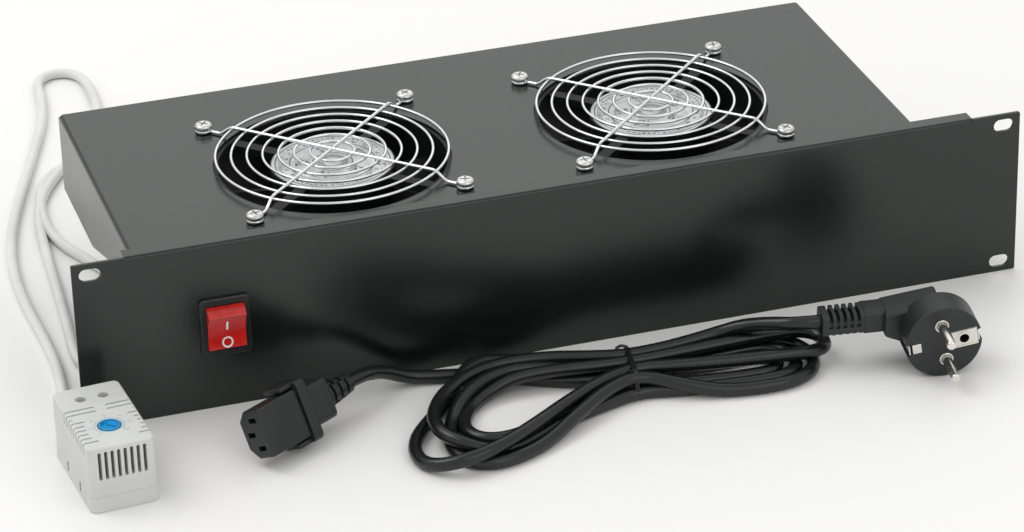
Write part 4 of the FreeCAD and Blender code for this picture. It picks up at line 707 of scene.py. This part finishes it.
def add_switch_frame():
    surround = brick((FRAME_WIDTH, FRAME_THICKNESS, FRAME_HEIGHT), (0, -FRAME_THICKNESS / 2, 0))
    softened(surround, FRAME_CORNER, 5, running("y"))
    softened(surround, FRAME_EDGE, 3, level_at("y", -FRAME_THICKNESS))
    barrel = brick((BARREL_WIDTH, BARREL_DEPTH, BARREL_HEIGHT), (0, BARREL_DEPTH / 2, 0))
    welded(surround, softened(barrel, BARREL_EDGE, 2, running("y")))
    room_middle = KEY_ROOM_DEPTH / 2 - FRAME_THICKNESS
    carved(surround, brick((KEY_ROOM_WIDTH, KEY_ROOM_DEPTH, KEY_ROOM_HEIGHT), (0, room_middle, 0)),
           rod(PIVOT_HOLE_RADIUS, (-PIVOT_HOLE_LENGTH / 2, PIVOT_DEPTH, 0), PIVOT_HOLE_LENGTH, "x", 24))
    finished(surround, "switch_frame", "tray", "black_plastic", ["switch_housing"], moved(SWITCH_X, 0, 0))


def add_key():
    """A rod with a dished front, cut flat before and behind, on its pivot. The marks follow the dish."""
    key = rod(KEY_RADIUS, (-KEY_WIDTH / 2, 0, 0), KEY_WIDTH, "x", 96)
    carved(key, rod(DISH_RADIUS, (-KEY_WIDTH, -DISH_AWAY, 0), 2 * KEY_WIDTH, "x", 128),
           brick((40, 8, 40), (0, -KEY_FRONT - 4, 0)), brick((40, 10, 40), (0, KEY_BACK + 5, 0)))
    softened(key, KEY_EDGE, 4, sharp=28)
    joined(key, rod(PIVOT_RADIUS, (-PIVOT_LENGTH / 2, 0, 0), PIVOT_LENGTH, "x", 24))
    place = moved(SWITCH_X, PIVOT_DEPTH, 0) @ turned(KEY_TILT, "X")
    finished(key, "switch_key", "rocker", "red_plastic", ["switch_rocker"], place)
    marks = joined(hoop(RING_MARK_RADIUS, RING_MARK_WIRE, (0, 0, -RING_MARK_DOWN), "y", 48, 10),
                   fine_brick(BAR_MARK_SIZE, (0, 0, BAR_MARK_UP), 12))
    for corner in marks.data.vertices:
        dish = math.sqrt(DISH_RADIUS ** 2 - (corner.co.z / MM) ** 2) - DISH_AWAY
        corner.co.y = corner.co.y * 0.5 + dish * MM
    finished(marks, "switch_marks", "rocker", "red_plastic", place=place, finish="white_mark")


# Thermostat, by the middle of its underside, with its cable end to the rear

STAT = Matrix.Translation((-0.2402, -0.0472, TABLE)) @ turned(4.5, "Z")
FOOT_WIDTH, FOOT_LENGTH, FOOT_HEIGHT = 33, 60, 8
CASE_WIDTH, CASE_LENGTH, CASE_TOP, CASE_CORNER, CASE_EDGE = 32.6, 59.6, 34, 3, 1.3
LATCH_SIZE, LATCH_ASIDE, LATCH_UP, LATCH_PLACES = (12, 2.6, 5), -17.5, 5.4, (-12, 8)
VENT_COUNT, VENT_PITCH, VENT_SIZE, VENT_UP, VENT_EDGE = 8, 3.1, (1.6, 24.6, 14.5), 24.25, 0.5
LOUVRE_START, LOUVRE_PITCH, LOUVRE_WIDTH, LOUVRE_SIDE = 8.4, 3.9, 1.1, 16.8
LOUVRE_TOP_HEIGHT, LOUVRE_TOP_UP = 6, 33.7
LOUVRE_SIDE_DEPTH, LOUVRE_SIDE_HEIGHT, LOUVRE_SIDE_UP = 4.4, 5.8, 31.4
# How far each louvre reaches in over the top from the left and the right side
LOUVRES = ((14.6, 12.5), (14.4, 12.9), (0, 0), (6.6, 5.3), (5.3, 3.4), (5.0, 2.9), (5.0, 2.6), (5.3, 3.4),
           (7.6, 5.6))
TERMINAL_ASIDE, TERMINAL_BACK, TERMINAL_DEPTH, TERMINAL_RADIUS = 5.5, 17.5, 9, 2.5
TERMINAL_RIM_RADIUS, TERMINAL_RIM_WIRE = 2.85, 0.28
TERMINAL_SCREW_RADIUS, TERMINAL_SCREW_HEIGHT, TERMINAL_SLOT_SIZE = 2.1, 2.4, (5, 0.7, 1.6)
DIAL_BACK, DIAL_RADIUS, DIAL_HEIGHT, DIAL_START, STEM_RADIUS = -11, 5.2, 4.6, 30, 2.6
DIAL_FLOOR, DIAL_FLOOR_RADIUS, DIAL_EDGE = 0.9, 4.35, 0.35
POINTER_SLOT_SIZE, POINTER_SQUARE_SIZE = (6.6, 1.5, 2.4), (2.8, 2.8, 2.4)
# Radius, start, length and sides of each step of the hole for the dial and its stem
DIAL_HOLE_STEPS = ((5.85, 32.9, 4, 72), (5.28, 30, 6, 72), (2.65, 26, 6, 32))
DIAL_TURN, SCALE_SPACES, SCALE_NUMBERS = 135, 30, 7
SCALE_RADIUS, NUMBERS_RADIUS, NUMBERS_SIZE, NUMBERS_THICKNESS = 6.5, 9.7, 1.8, 0.03
TICK_WIDTH, TICK_THICKNESS, SHORT_TICK, LONG_TICK = 0.3, 0.06, 0.9, 1.7
CABLE_ASIDE, CABLE_UP = -3, 12
COLLAR_START, COLLAR_LENGTH, COLLAR_RADIUS, COLLAR_END_RADIUS = 29.8, 6, 4.2, 3.3
GROOVE_PLACES, GROOVE_WIDTH, GROOVE_RADIUS = (1.4, 3.2), 0.7, 3.1


def add_thermostat():
    add_thermostat_foot()
    add_thermostat_case()
    add_dial_scale()
    add_dial()
    add_terminal_screws()
    add_cable_collar()


def add_thermostat_foot():
    foot = brick((FOOT_WIDTH, FOOT_LENGTH, FOOT_HEIGHT), (0, 0, FOOT_HEIGHT / 2))
    softened(foot, CASE_CORNER, 4, running("z"))
    softened(foot, 0.5, 2, across("z"))
    carved(foot, *[brick(LATCH_SIZE, (LATCH_ASIDE, y, LATCH_UP)) for y in LATCH_PLACES])
    finished(foot, "stat_foot", "tray", "stat_plastic", ["thermostat_base"], STAT)


def add_thermostat_case():
    height = CASE_TOP - FOOT_HEIGHT
    case = brick((CASE_WIDTH, CASE_LENGTH, height), (0, 0, FOOT_HEIGHT + height / 2))
    softened(case, CASE_CORNER, 5, running("z"))
    softened(case, CASE_EDGE, 4, level_at("z", CASE_TOP))
    for number in range(VENT_COUNT):
        x = (number - (VENT_COUNT - 1) / 2) * VENT_PITCH
        vent = brick(VENT_SIZE, (x, -CASE_LENGTH / 2, VENT_UP))
        carved(case, softened(vent, VENT_EDGE, 2, running("y")))
    for number, reaches in enumerate(LOUVRES):
        y = LOUVRE_START - LOUVRE_PITCH * number
        for side, reach in zip((-1, 1), reaches):
            if reach:
                carved(case, brick((reach + 1, LOUVRE_WIDTH, LOUVRE_TOP_HEIGHT),
                                   (side * (LOUVRE_SIDE - reach / 2), y, LOUVRE_TOP_UP)))
            carved(case, brick((LOUVRE_SIDE_DEPTH, LOUVRE_WIDTH, LOUVRE_SIDE_HEIGHT),
                               (side * LOUVRE_SIDE, y, LOUVRE_SIDE_UP)))
    for side in (-1, 1):
        start = (side * TERMINAL_ASIDE, TERMINAL_BACK, CASE_TOP - TERMINAL_DEPTH)
        carved(case, rod(TERMINAL_RADIUS, start, TERMINAL_DEPTH + 3, sides=40))
    for radius, start, length, sides in DIAL_HOLE_STEPS:
        carved(case, rod(radius, (0, DIAL_BACK, start), length, sides=sides))
    rims = [hoop(TERMINAL_RIM_RADIUS, TERMINAL_RIM_WIRE, (side * TERMINAL_ASIDE, TERMINAL_BACK, CASE_TOP),
                 round_steps=40, wire_steps=8) for side in (-1, 1)]
    finished(joined(case, *rims), "stat_case", "tray", "stat_plastic", ["thermostat_housing"], STAT)


def add_dial_scale():
    """Thin ticks and numbers about the dial, every fifth tick longer."""
    marks = []
    for number in range(SCALE_SPACES + 1):
        angle = 2 * DIAL_TURN / SCALE_SPACES * number - DIAL_TURN
        length = LONG_TICK if number % 5 == 0 else SHORT_TICK
        tick = brick((TICK_WIDTH, length, TICK_THICKNESS), (0, SCALE_RADIUS + length / 2, CASE_TOP))
        tick.data.transform(moved(0, DIAL_BACK, 0) @ turned(-angle, "Z"))
        marks.append(tick)
    for number in range(SCALE_NUMBERS):
        angle = math.radians(2 * DIAL_TURN / (SCALE_NUMBERS - 1) * number - DIAL_TURN)
        x, y = NUMBERS_RADIUS * math.sin(angle), DIAL_BACK + NUMBERS_RADIUS * math.cos(angle)
        marks.append(letters(str(number * 10), NUMBERS_SIZE, (x, y, CASE_TOP - 0.02), NUMBERS_THICKNESS))
    finished(joined(*marks), "dial_scale", "tray", "stat_plastic", place=STAT, finish="dial_print")


def add_dial():
    """A low drum with a sunk top, in which a slot and a square make a pointer."""
    top = DIAL_START + DIAL_HEIGHT
    floor = top - DIAL_FLOOR
    dial = rod(DIAL_RADIUS, (0, DIAL_BACK, DIAL_START), DIAL_HEIGHT, sides=72)
    softened(dial, DIAL_EDGE, 3, level_at("z", top))
    welded(dial, rod(STEM_RADIUS, (0, DIAL_BACK, DIAL_START - 4), 5, sides=32))
    hollow = rod(DIAL_FLOOR_RADIUS, (0, DIAL_BACK, floor), 2, sides=72)
    carved(dial, softened(hollow, 0.3, 2, level_at("z", floor)),
           brick(POINTER_SLOT_SIZE, (0, DIAL_BACK, top - 0.2), (0, 0, -48)),
           brick(POINTER_SQUARE_SIZE, (-2.0, DIAL_BACK + 2.1, top - 0.2), (0, 0, -3)))
    finished(dial, "stat_knob", "dial", "blue_plastic", ["thermostat_dial"], STAT)


def add_terminal_screws():
    screws = []
    start, height = CASE_TOP - TERMINAL_DEPTH, TERMINAL_SCREW_HEIGHT
    for side in (-1, 1):
        x = side * TERMINAL_ASIDE
        head = rod(TERMINAL_SCREW_RADIUS, (x, TERMINAL_BACK, start), height, sides=32)
        softened(head, 0.3, 2, level_at("z", start + height))
        slot = brick(TERMINAL_SLOT_SIZE, (x, TERMINAL_BACK, start + height), (0, 0, 20 * side))
        screws.append(carved(head, slot))
    finished(joined(*screws), "stat_terminal_screws", "tray", "zinc", ["thermostat_screws"], STAT)


def add_cable_collar():
    """A cone about the cable with two grooves."""
    start = (CABLE_ASIDE, COLLAR_START, CABLE_UP)
    collar = rod(COLLAR_RADIUS, start, COLLAR_LENGTH, "y", 48, COLLAR_END_RADIUS)
    softened(collar, 0.5, 3, level_at("y", COLLAR_START + COLLAR_LENGTH))
    for place in GROOVE_PLACES:
        y = COLLAR_START + place
        core = rod(GROOVE_RADIUS, (CABLE_ASIDE, y - 0.8, CABLE_UP), 3, "y", 48)
        carved(collar, carved(rod(6, (CABLE_ASIDE, y, CABLE_UP), GROOVE_WIDTH, "y", 48), core))
    finished(collar, "stat_cord_collar", "tray", "stat_plastic", ["thermostat_collar"], STAT,
             finish="grey_plastic")


# Mains lead's connector: it points along X from its face, by the middle of that face

CONNECTOR = Matrix.Translation((-0.172, -0.0616, -0.026974)) @ turned(31.8, "Z") @ turned(65, "X")
NOSE_LENGTH, NOSE_WIDTH, NOSE_HEIGHT, NOSE_CORNER = 26, 24, 15.6, 5
RIM_START, RIM_LENGTH, RIM_WIDTH, RIM_HEIGHT = 26, 6, 31, 19
TAB_SIZE, TAB_X, TAB_ASIDE = (9, 2.6, 12.6), 22.5, 14.2
GRIP_START, GRIP_LENGTH, GRIP_WIDTH, GRIP_HEIGHT = 31, 15, 20.5, 15
RELIEF_START, RELIEF_LENGTH, RELIEF_RADIUS, RELIEF_END_RADIUS = 46, 18, 7.0, 4.8
RELIEF_CUT, RELIEF_CUT_OUT, RELIEF_TAPER = 1.7, 6.2, 0.06
FLAT_CUTS, SIDE_CUTS = (3.0, 8.0, 13.0), (5.5, 10.5)
CONTACT_PLACES, CONTACT_HOLE_SIZE, CONTACT_HOLE_X = ((-7, 2), (0, -2), (7, 2)), (15, 2.4, 5), 6.5
GRIP_GROOVE_SIZE, GRIP_GROOVE_X, GRIP_GROOVE_UP = (8, 16, 1.2), 39, 8


def cut_relief_ribs(relief):
    """Leave ribs by cuts above and below, and between them at both sides."""
    for side in (-1, 1):
        for start in FLAT_CUTS:
            z = side * (RELIEF_CUT_OUT - start * RELIEF_TAPER)
            carved(relief, brick((RELIEF_CUT, 11, 4), (RELIEF_START + start, 0, z)))
        for start in SIDE_CUTS:
            y = side * (RELIEF_CUT_OUT - start * RELIEF_TAPER)
            carved(relief, brick((RELIEF_CUT, 4, 11), (RELIEF_START + start, y, 0)))


def add_connector():
    nose = brick((NOSE_LENGTH, NOSE_WIDTH, NOSE_HEIGHT), (NOSE_LENGTH / 2, 0, 0))
    softened(nose, NOSE_CORNER, 1, running("x"), level_at("z", -NOSE_HEIGHT / 2))
    softened(nose, 0.9, 3)
    rim = brick((RIM_LENGTH, RIM_WIDTH, RIM_HEIGHT), (RIM_START + RIM_LENGTH / 2, 0, 0))
    softened(softened(rim, 3, 4, running("x")), 0.8, 2)
    tabs = [softened(brick(TAB_SIZE, (TAB_X, side * TAB_ASIDE, 0)), 0.8, 2) for side in (-1, 1)]
    grip = brick((GRIP_LENGTH, GRIP_WIDTH, GRIP_HEIGHT), (GRIP_START + GRIP_LENGTH / 2, 0, 0))
    softened(softened(grip, 3, 4, running("x")), 0.9, 3)
    relief = rod(RELIEF_RADIUS, (RELIEF_START, 0, 0), RELIEF_LENGTH, "x", 64, RELIEF_END_RADIUS)
    softened(relief, 0.5, 2, level_at("x", RELIEF_START + RELIEF_LENGTH))
    cut_relief_ribs(relief)
    welded(nose, rim, *tabs, grip, relief)
    for y, z in CONTACT_PLACES:
        carved(nose, brick(CONTACT_HOLE_SIZE, (CONTACT_HOLE_X, y, z)))
    carved(nose, *[brick(GRIP_GROOVE_SIZE, (GRIP_GROOVE_X, 0, side * GRIP_GROOVE_UP)) for side in (-1, 1)])
    finished(nose, "inlet_plug", "tray", "black_rubber", ["connector_body"], CONNECTOR)


# Mains plug: its pins point to -Y, and its cable leaves to -X

PLUG_RADIUS, PLUG_DEPTH, PLUG_BACK_RADIUS, PLUG_BACK_DEPTH = 19, 16, 13.3, 7.5
PLUG_TILT, PLUG_FACE_TURN = 3, -9
PLUG_HEIGHT = PLUG_RADIUS * math.cos(math.radians(PLUG_TILT)) + PLUG_DEPTH * math.sin(math.radians(PLUG_TILT))
PLUG = (Matrix.Translation((0.1654, -0.0763, TABLE + PLUG_HEIGHT * MM)) @ turned(-8, "Z")
        @ turned(PLUG_TILT, "X"))
PLUG_FACE = PLUG @ turned(PLUG_FACE_TURN, "Y")
EARTH_SLOT_SIZE, EARTH_SLOT_ASIDE = (2.2, 17.6, 6.4), 17.9
# Side, length and width of the recess in the face for each earth contact
FACE_RECESSES, RECESS_EDGE, RECESS_CUT = ((-1, 5.6, 5.2), (1, 14.2, 9.5)), 16.8, 1.6
NECK_UP, NECK_BACK, NECK_SIZE, NECK_X = 4.2, 8, (36, 14, 12.4), -17
BLOCK_SIZE, BLOCK_PLACE, BLOCK_END_HEIGHT = (28.4, 18, 29), (-11.8, 6, 0), 12.8
PLUG_RELIEF_SIZE, PLUG_RELIEF_X = (21.5, 13.3, 11.8), -45.25
RIB_START, RIB_PITCH, RIB_COUNT, RIB_CUT = -56, 3.4, 5, 1.8
EARTH_HOLE_X, EARTH_HOLE_RADIUS = 10, 2.4
PIN_RADIUS, PIN_START, PIN_LENGTH, PIN_ASIDE, PIN_TIP = 2.4, -35, 19.3, 9.5, 1.5
PIN_RING_RADIUS, PIN_RING_WIRE = 3.0, 0.55
CLIP_THICKNESS, SPRING_LENGTH, SPRING_ASIDE, SPRING_MIDDLE = 0.8, 13, 17.2, -9.5


def add_plug_disc():
    """The round front with its earth slots and hole, turned about the pins' middle."""
    disc = softened(rod(PLUG_RADIUS, (0, -PLUG_DEPTH, 0), PLUG_DEPTH, "y", 128), 0.8, 3,
                    level_at("y", -PLUG_DEPTH))
    back = rod(PLUG_RADIUS, (0, -0.5, 0), PLUG_BACK_DEPTH, "y", 128, PLUG_BACK_RADIUS)
    welded(disc, softened(back, 1.6, 4, level_at("y", PLUG_BACK_DEPTH - 0.5)))
    for side, reach, wide in FACE_RECESSES:
        carved(disc, brick(EARTH_SLOT_SIZE, (side * EARTH_SLOT_ASIDE, -PLUG_DEPTH / 2, 0)),
               brick((reach, RECESS_CUT, wide), (side * (RECESS_EDGE - reach / 2), -PLUG_DEPTH, 0)))
    carved(disc, rod(EARTH_HOLE_RADIUS, (EARTH_HOLE_X, -17, 0), 13, "y", 40))
    disc.data.transform(turned(PLUG_FACE_TURN, "Y"))
    return disc


def add_plug_block():
    """The block behind the disc, which narrows towards the neck."""
    block = brick(BLOCK_SIZE, BLOCK_PLACE)
    for corner in block.data.vertices:
        if corner.co.x < 0:
            corner.co.z = (NECK_UP + math.copysign(BLOCK_END_HEIGHT / 2, corner.co.z)) * MM
    return softened(block, 1.8, 4)


def add_plug_relief():
    relief = softened(brick(PLUG_RELIEF_SIZE, (PLUG_RELIEF_X, NECK_BACK, NECK_UP)), 2.6, 4, running("x"))
    softened(relief, 0.6, 2, level_at("x", RIB_START))
    for number in range(RIB_COUNT):
        x = RIB_START + RIB_PITCH * (number + 1) + RIB_CUT / 2
        carved(relief, brick((RIB_CUT, 16, 4.2), (x, NECK_BACK, 8.4)),
               brick((RIB_CUT, 16, 2.4), (x, NECK_BACK, -1.6)), brick((RIB_CUT, 3.4, 2.6), (x, 0.6, 4.4)))
    return relief


def add_plug():
    disc = add_plug_disc()
    neck = softened(brick(NECK_SIZE, (NECK_X, NECK_BACK, NECK_UP)), 2.6, 4, running("x"))
    body = welded(disc, neck, add_plug_block())
    finished(joined(body, add_plug_relief()), "mains_plug_body", "tray", "black_rubber", ["plug_body"], PLUG)


def add_plug_pins():
    pins = []
    for z in (-PIN_ASIDE, PIN_ASIDE):
        pin = rod(PIN_RADIUS, (0, PIN_START, z), PIN_LENGTH, "y", 40)
        pins.append(softened(pin, PIN_TIP, 4, level_at("y", PIN_START)))
        pins.append(hoop(PIN_RING_RADIUS, PIN_RING_WIRE, (0, -PLUG_DEPTH, z), "y", 40, 10))
    finished(joined(*pins), "mains_pins", "tray", "pin_metal", ["plug_pins"], PLUG_FACE, smooth=50)


def add_earth_contacts():
    """A side spring and a plate on the face at either side, the right one about the earth hole."""
    face = 0.4 - PLUG_DEPTH

    def strip(size, at, edge=0.3):
        return softened(brick(size, at), edge, 2)

    def earth_hole():
        return rod(EARTH_HOLE_RADIUS, (EARTH_HOLE_X, -17, 0), 3, "y", 40)

    left = joined(strip((CLIP_THICKNESS, SPRING_LENGTH, 5.2), (-SPRING_ASIDE, SPRING_MIDDLE, 0)),
                  strip((4.6, CLIP_THICKNESS, 5.2), (-13.5, face, 0)))
    plate = carved(strip((14.2, CLIP_THICKNESS, 9.5), (9.7, face, 0)), earth_hole())
    rim = carved(rod(3.6, (EARTH_HOLE_X, -16.3, 0), 0.9, "y", 40), earth_hole())
    ridges = [strip((12.6, 0.7, 0.9), (9.9, -PLUG_DEPTH, side * 4.1), 0.2) for side in (-1, 1)]
    spring = strip((CLIP_THICKNESS, SPRING_LENGTH, 6), (SPRING_ASIDE, SPRING_MIDDLE, 0))
    right = joined(plate, rim, *ridges, spring)
    finished(joined(left, right), "earth_contacts", "tray", "pin_metal", ["plug_earth_clips"], PLUG_FACE)


# Wire tie about the hank: three wires side by side, and the twisted end

# Half of the loop, from the middle of the table side to the middle of the top; the other half mirrors it
TIE_HALF = ((0, -43.65), (16.0, -43.6), (17.9, -42.4), (18.2, -39.8), (16.6, -35.6), (14.4, -31.6),
            (11.5, -29.9), (0, -29.8))
TWIST = ((0, 12.0, -29.9), (-1.8, 13.6, -29.7), (-4.0, 14.4, -30.6), (-5.4, 13.4, -31.6), (-5.0, 12.0, -31.8))
TIE_WIRE, TIE_SPACING, TWIST_WIRE = 0.4, 0.7, 0.75
TIE_PLACE = moved(19, -47.1, 0) @ turned(-9, "Z")


def add_tie():
    bands = []
    for x in (-TIE_SPACING, 0, TIE_SPACING):
        loop = [(x, y, z) for y, z in TIE_HALF] + [(x, -y, z) for y, z in TIE_HALF[-2:0:-1]]
        bands.append(wire(loop, TIE_WIRE, True, 8))
    finished(joined(*bands, wire(TWIST, TWIST_WIRE)), "lead_tie", "tray", "tie_plastic", ["hank_tie"],
             TIE_PLACE, smooth=60)


def dress_parts():
    """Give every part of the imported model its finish; the pieces above hide some of them."""
    foil = hub_foil([tuple(value * MM for value in middle) for middle in FANS.values()])
    for entry in frame["record"]["subparts"]:
        part = frame["nodes"][entry["node"]]
        part.data.materials.clear()
        finish = foil if entry["node"] == "fan_labels" else FINISHES[entry["material_slot"]]
        part.data.materials.append(finish)


# Pale table, three soft lamps and an even sky that looks darker than it lights

TABLE_SIZE = 14
TABLE_COLOUR = (0.80, 0.798, 0.792)
# Each lamp's name, place, size and power
LAMPS = (("key", (-1.2, 0.5, 1.9), 1.3, 15), ("fill", (0.6, -1.7, 1.4), 1.6, 6),
         ("back", (0.7, 1.9, 1.7), 2.0, 7))
SKY_COLOUR = (1.0, 0.995, 0.985)
SKY_LIGHT, SKY_SEEN = 0.92, 0.76


def add_studio():
    bpy.ops.mesh.primitive_plane_add(size=TABLE_SIZE, location=(0, 0, TABLE))
    table = bpy.context.object
    table.name = "table"
    table.data.materials.append(Finish("table_paper").give(Base_Color=TABLE_COLOUR, Roughness=0.5))
    for name, place, size, power in LAMPS:
        bpy.ops.object.light_add(type="AREA", location=place)
        lamp = bpy.context.object
        lamp.name = name
        lamp.data.energy, lamp.data.size = power, size
        lamp.rotation_euler = Vector(place).to_track_quat("Z", "Y").to_euler()
    world = bpy.data.worlds.new("studio")
    bpy.context.scene.world = world
    sky = Tree(world)
    to_camera = sky.node("ShaderNodeLightPath", {}, {}, "Is Camera Ray")
    in_gloss = sky.node("ShaderNodeLightPath", {}, {}, "Is Glossy Ray")
    strength = SKY_LIGHT + (SKY_SEEN - SKY_LIGHT) * sky.maths("MAXIMUM", to_camera, in_gloss)
    background = sky.nodes["Background"]
    sky.join(SKY_COLOUR, background.inputs["Color"])
    sky.join(strength, background.inputs["Strength"])
    bpy.context.scene.view_settings.view_transform = "Standard"


add_camera()
cable = nurbs("thermostat_cord", CABLE_ROUTE, CABLE_DIAMETER)
lead = nurbs("mains_lead", LEAD_ROUTE, LEAD_DIAMETER)
LEAD_NODES = ["lead_cord_connector_end", "lead_hank", "lead_cord_plug_end"]
for cord, slot, nodes in ((cable, "white_cable", ["thermostat_cable"]), (lead, "black_cable", LEAD_NODES)):
    cord.data.materials.append(FINISHES[slot])
    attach(cord, "tray")
    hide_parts(*nodes)

dress_parts()
add_panel()
for fan_side in FANS:
    add_guard(fan_side)
    add_rotor(fan_side)
add_guard_screws()
add_switch_frame()
add_key()
add_thermostat()
add_connector()
add_plug()
add_plug_pins()
add_earth_contacts()
add_tie()
add_studio()

round(line_length(cable), 4)
round(line_length(lead), 4)
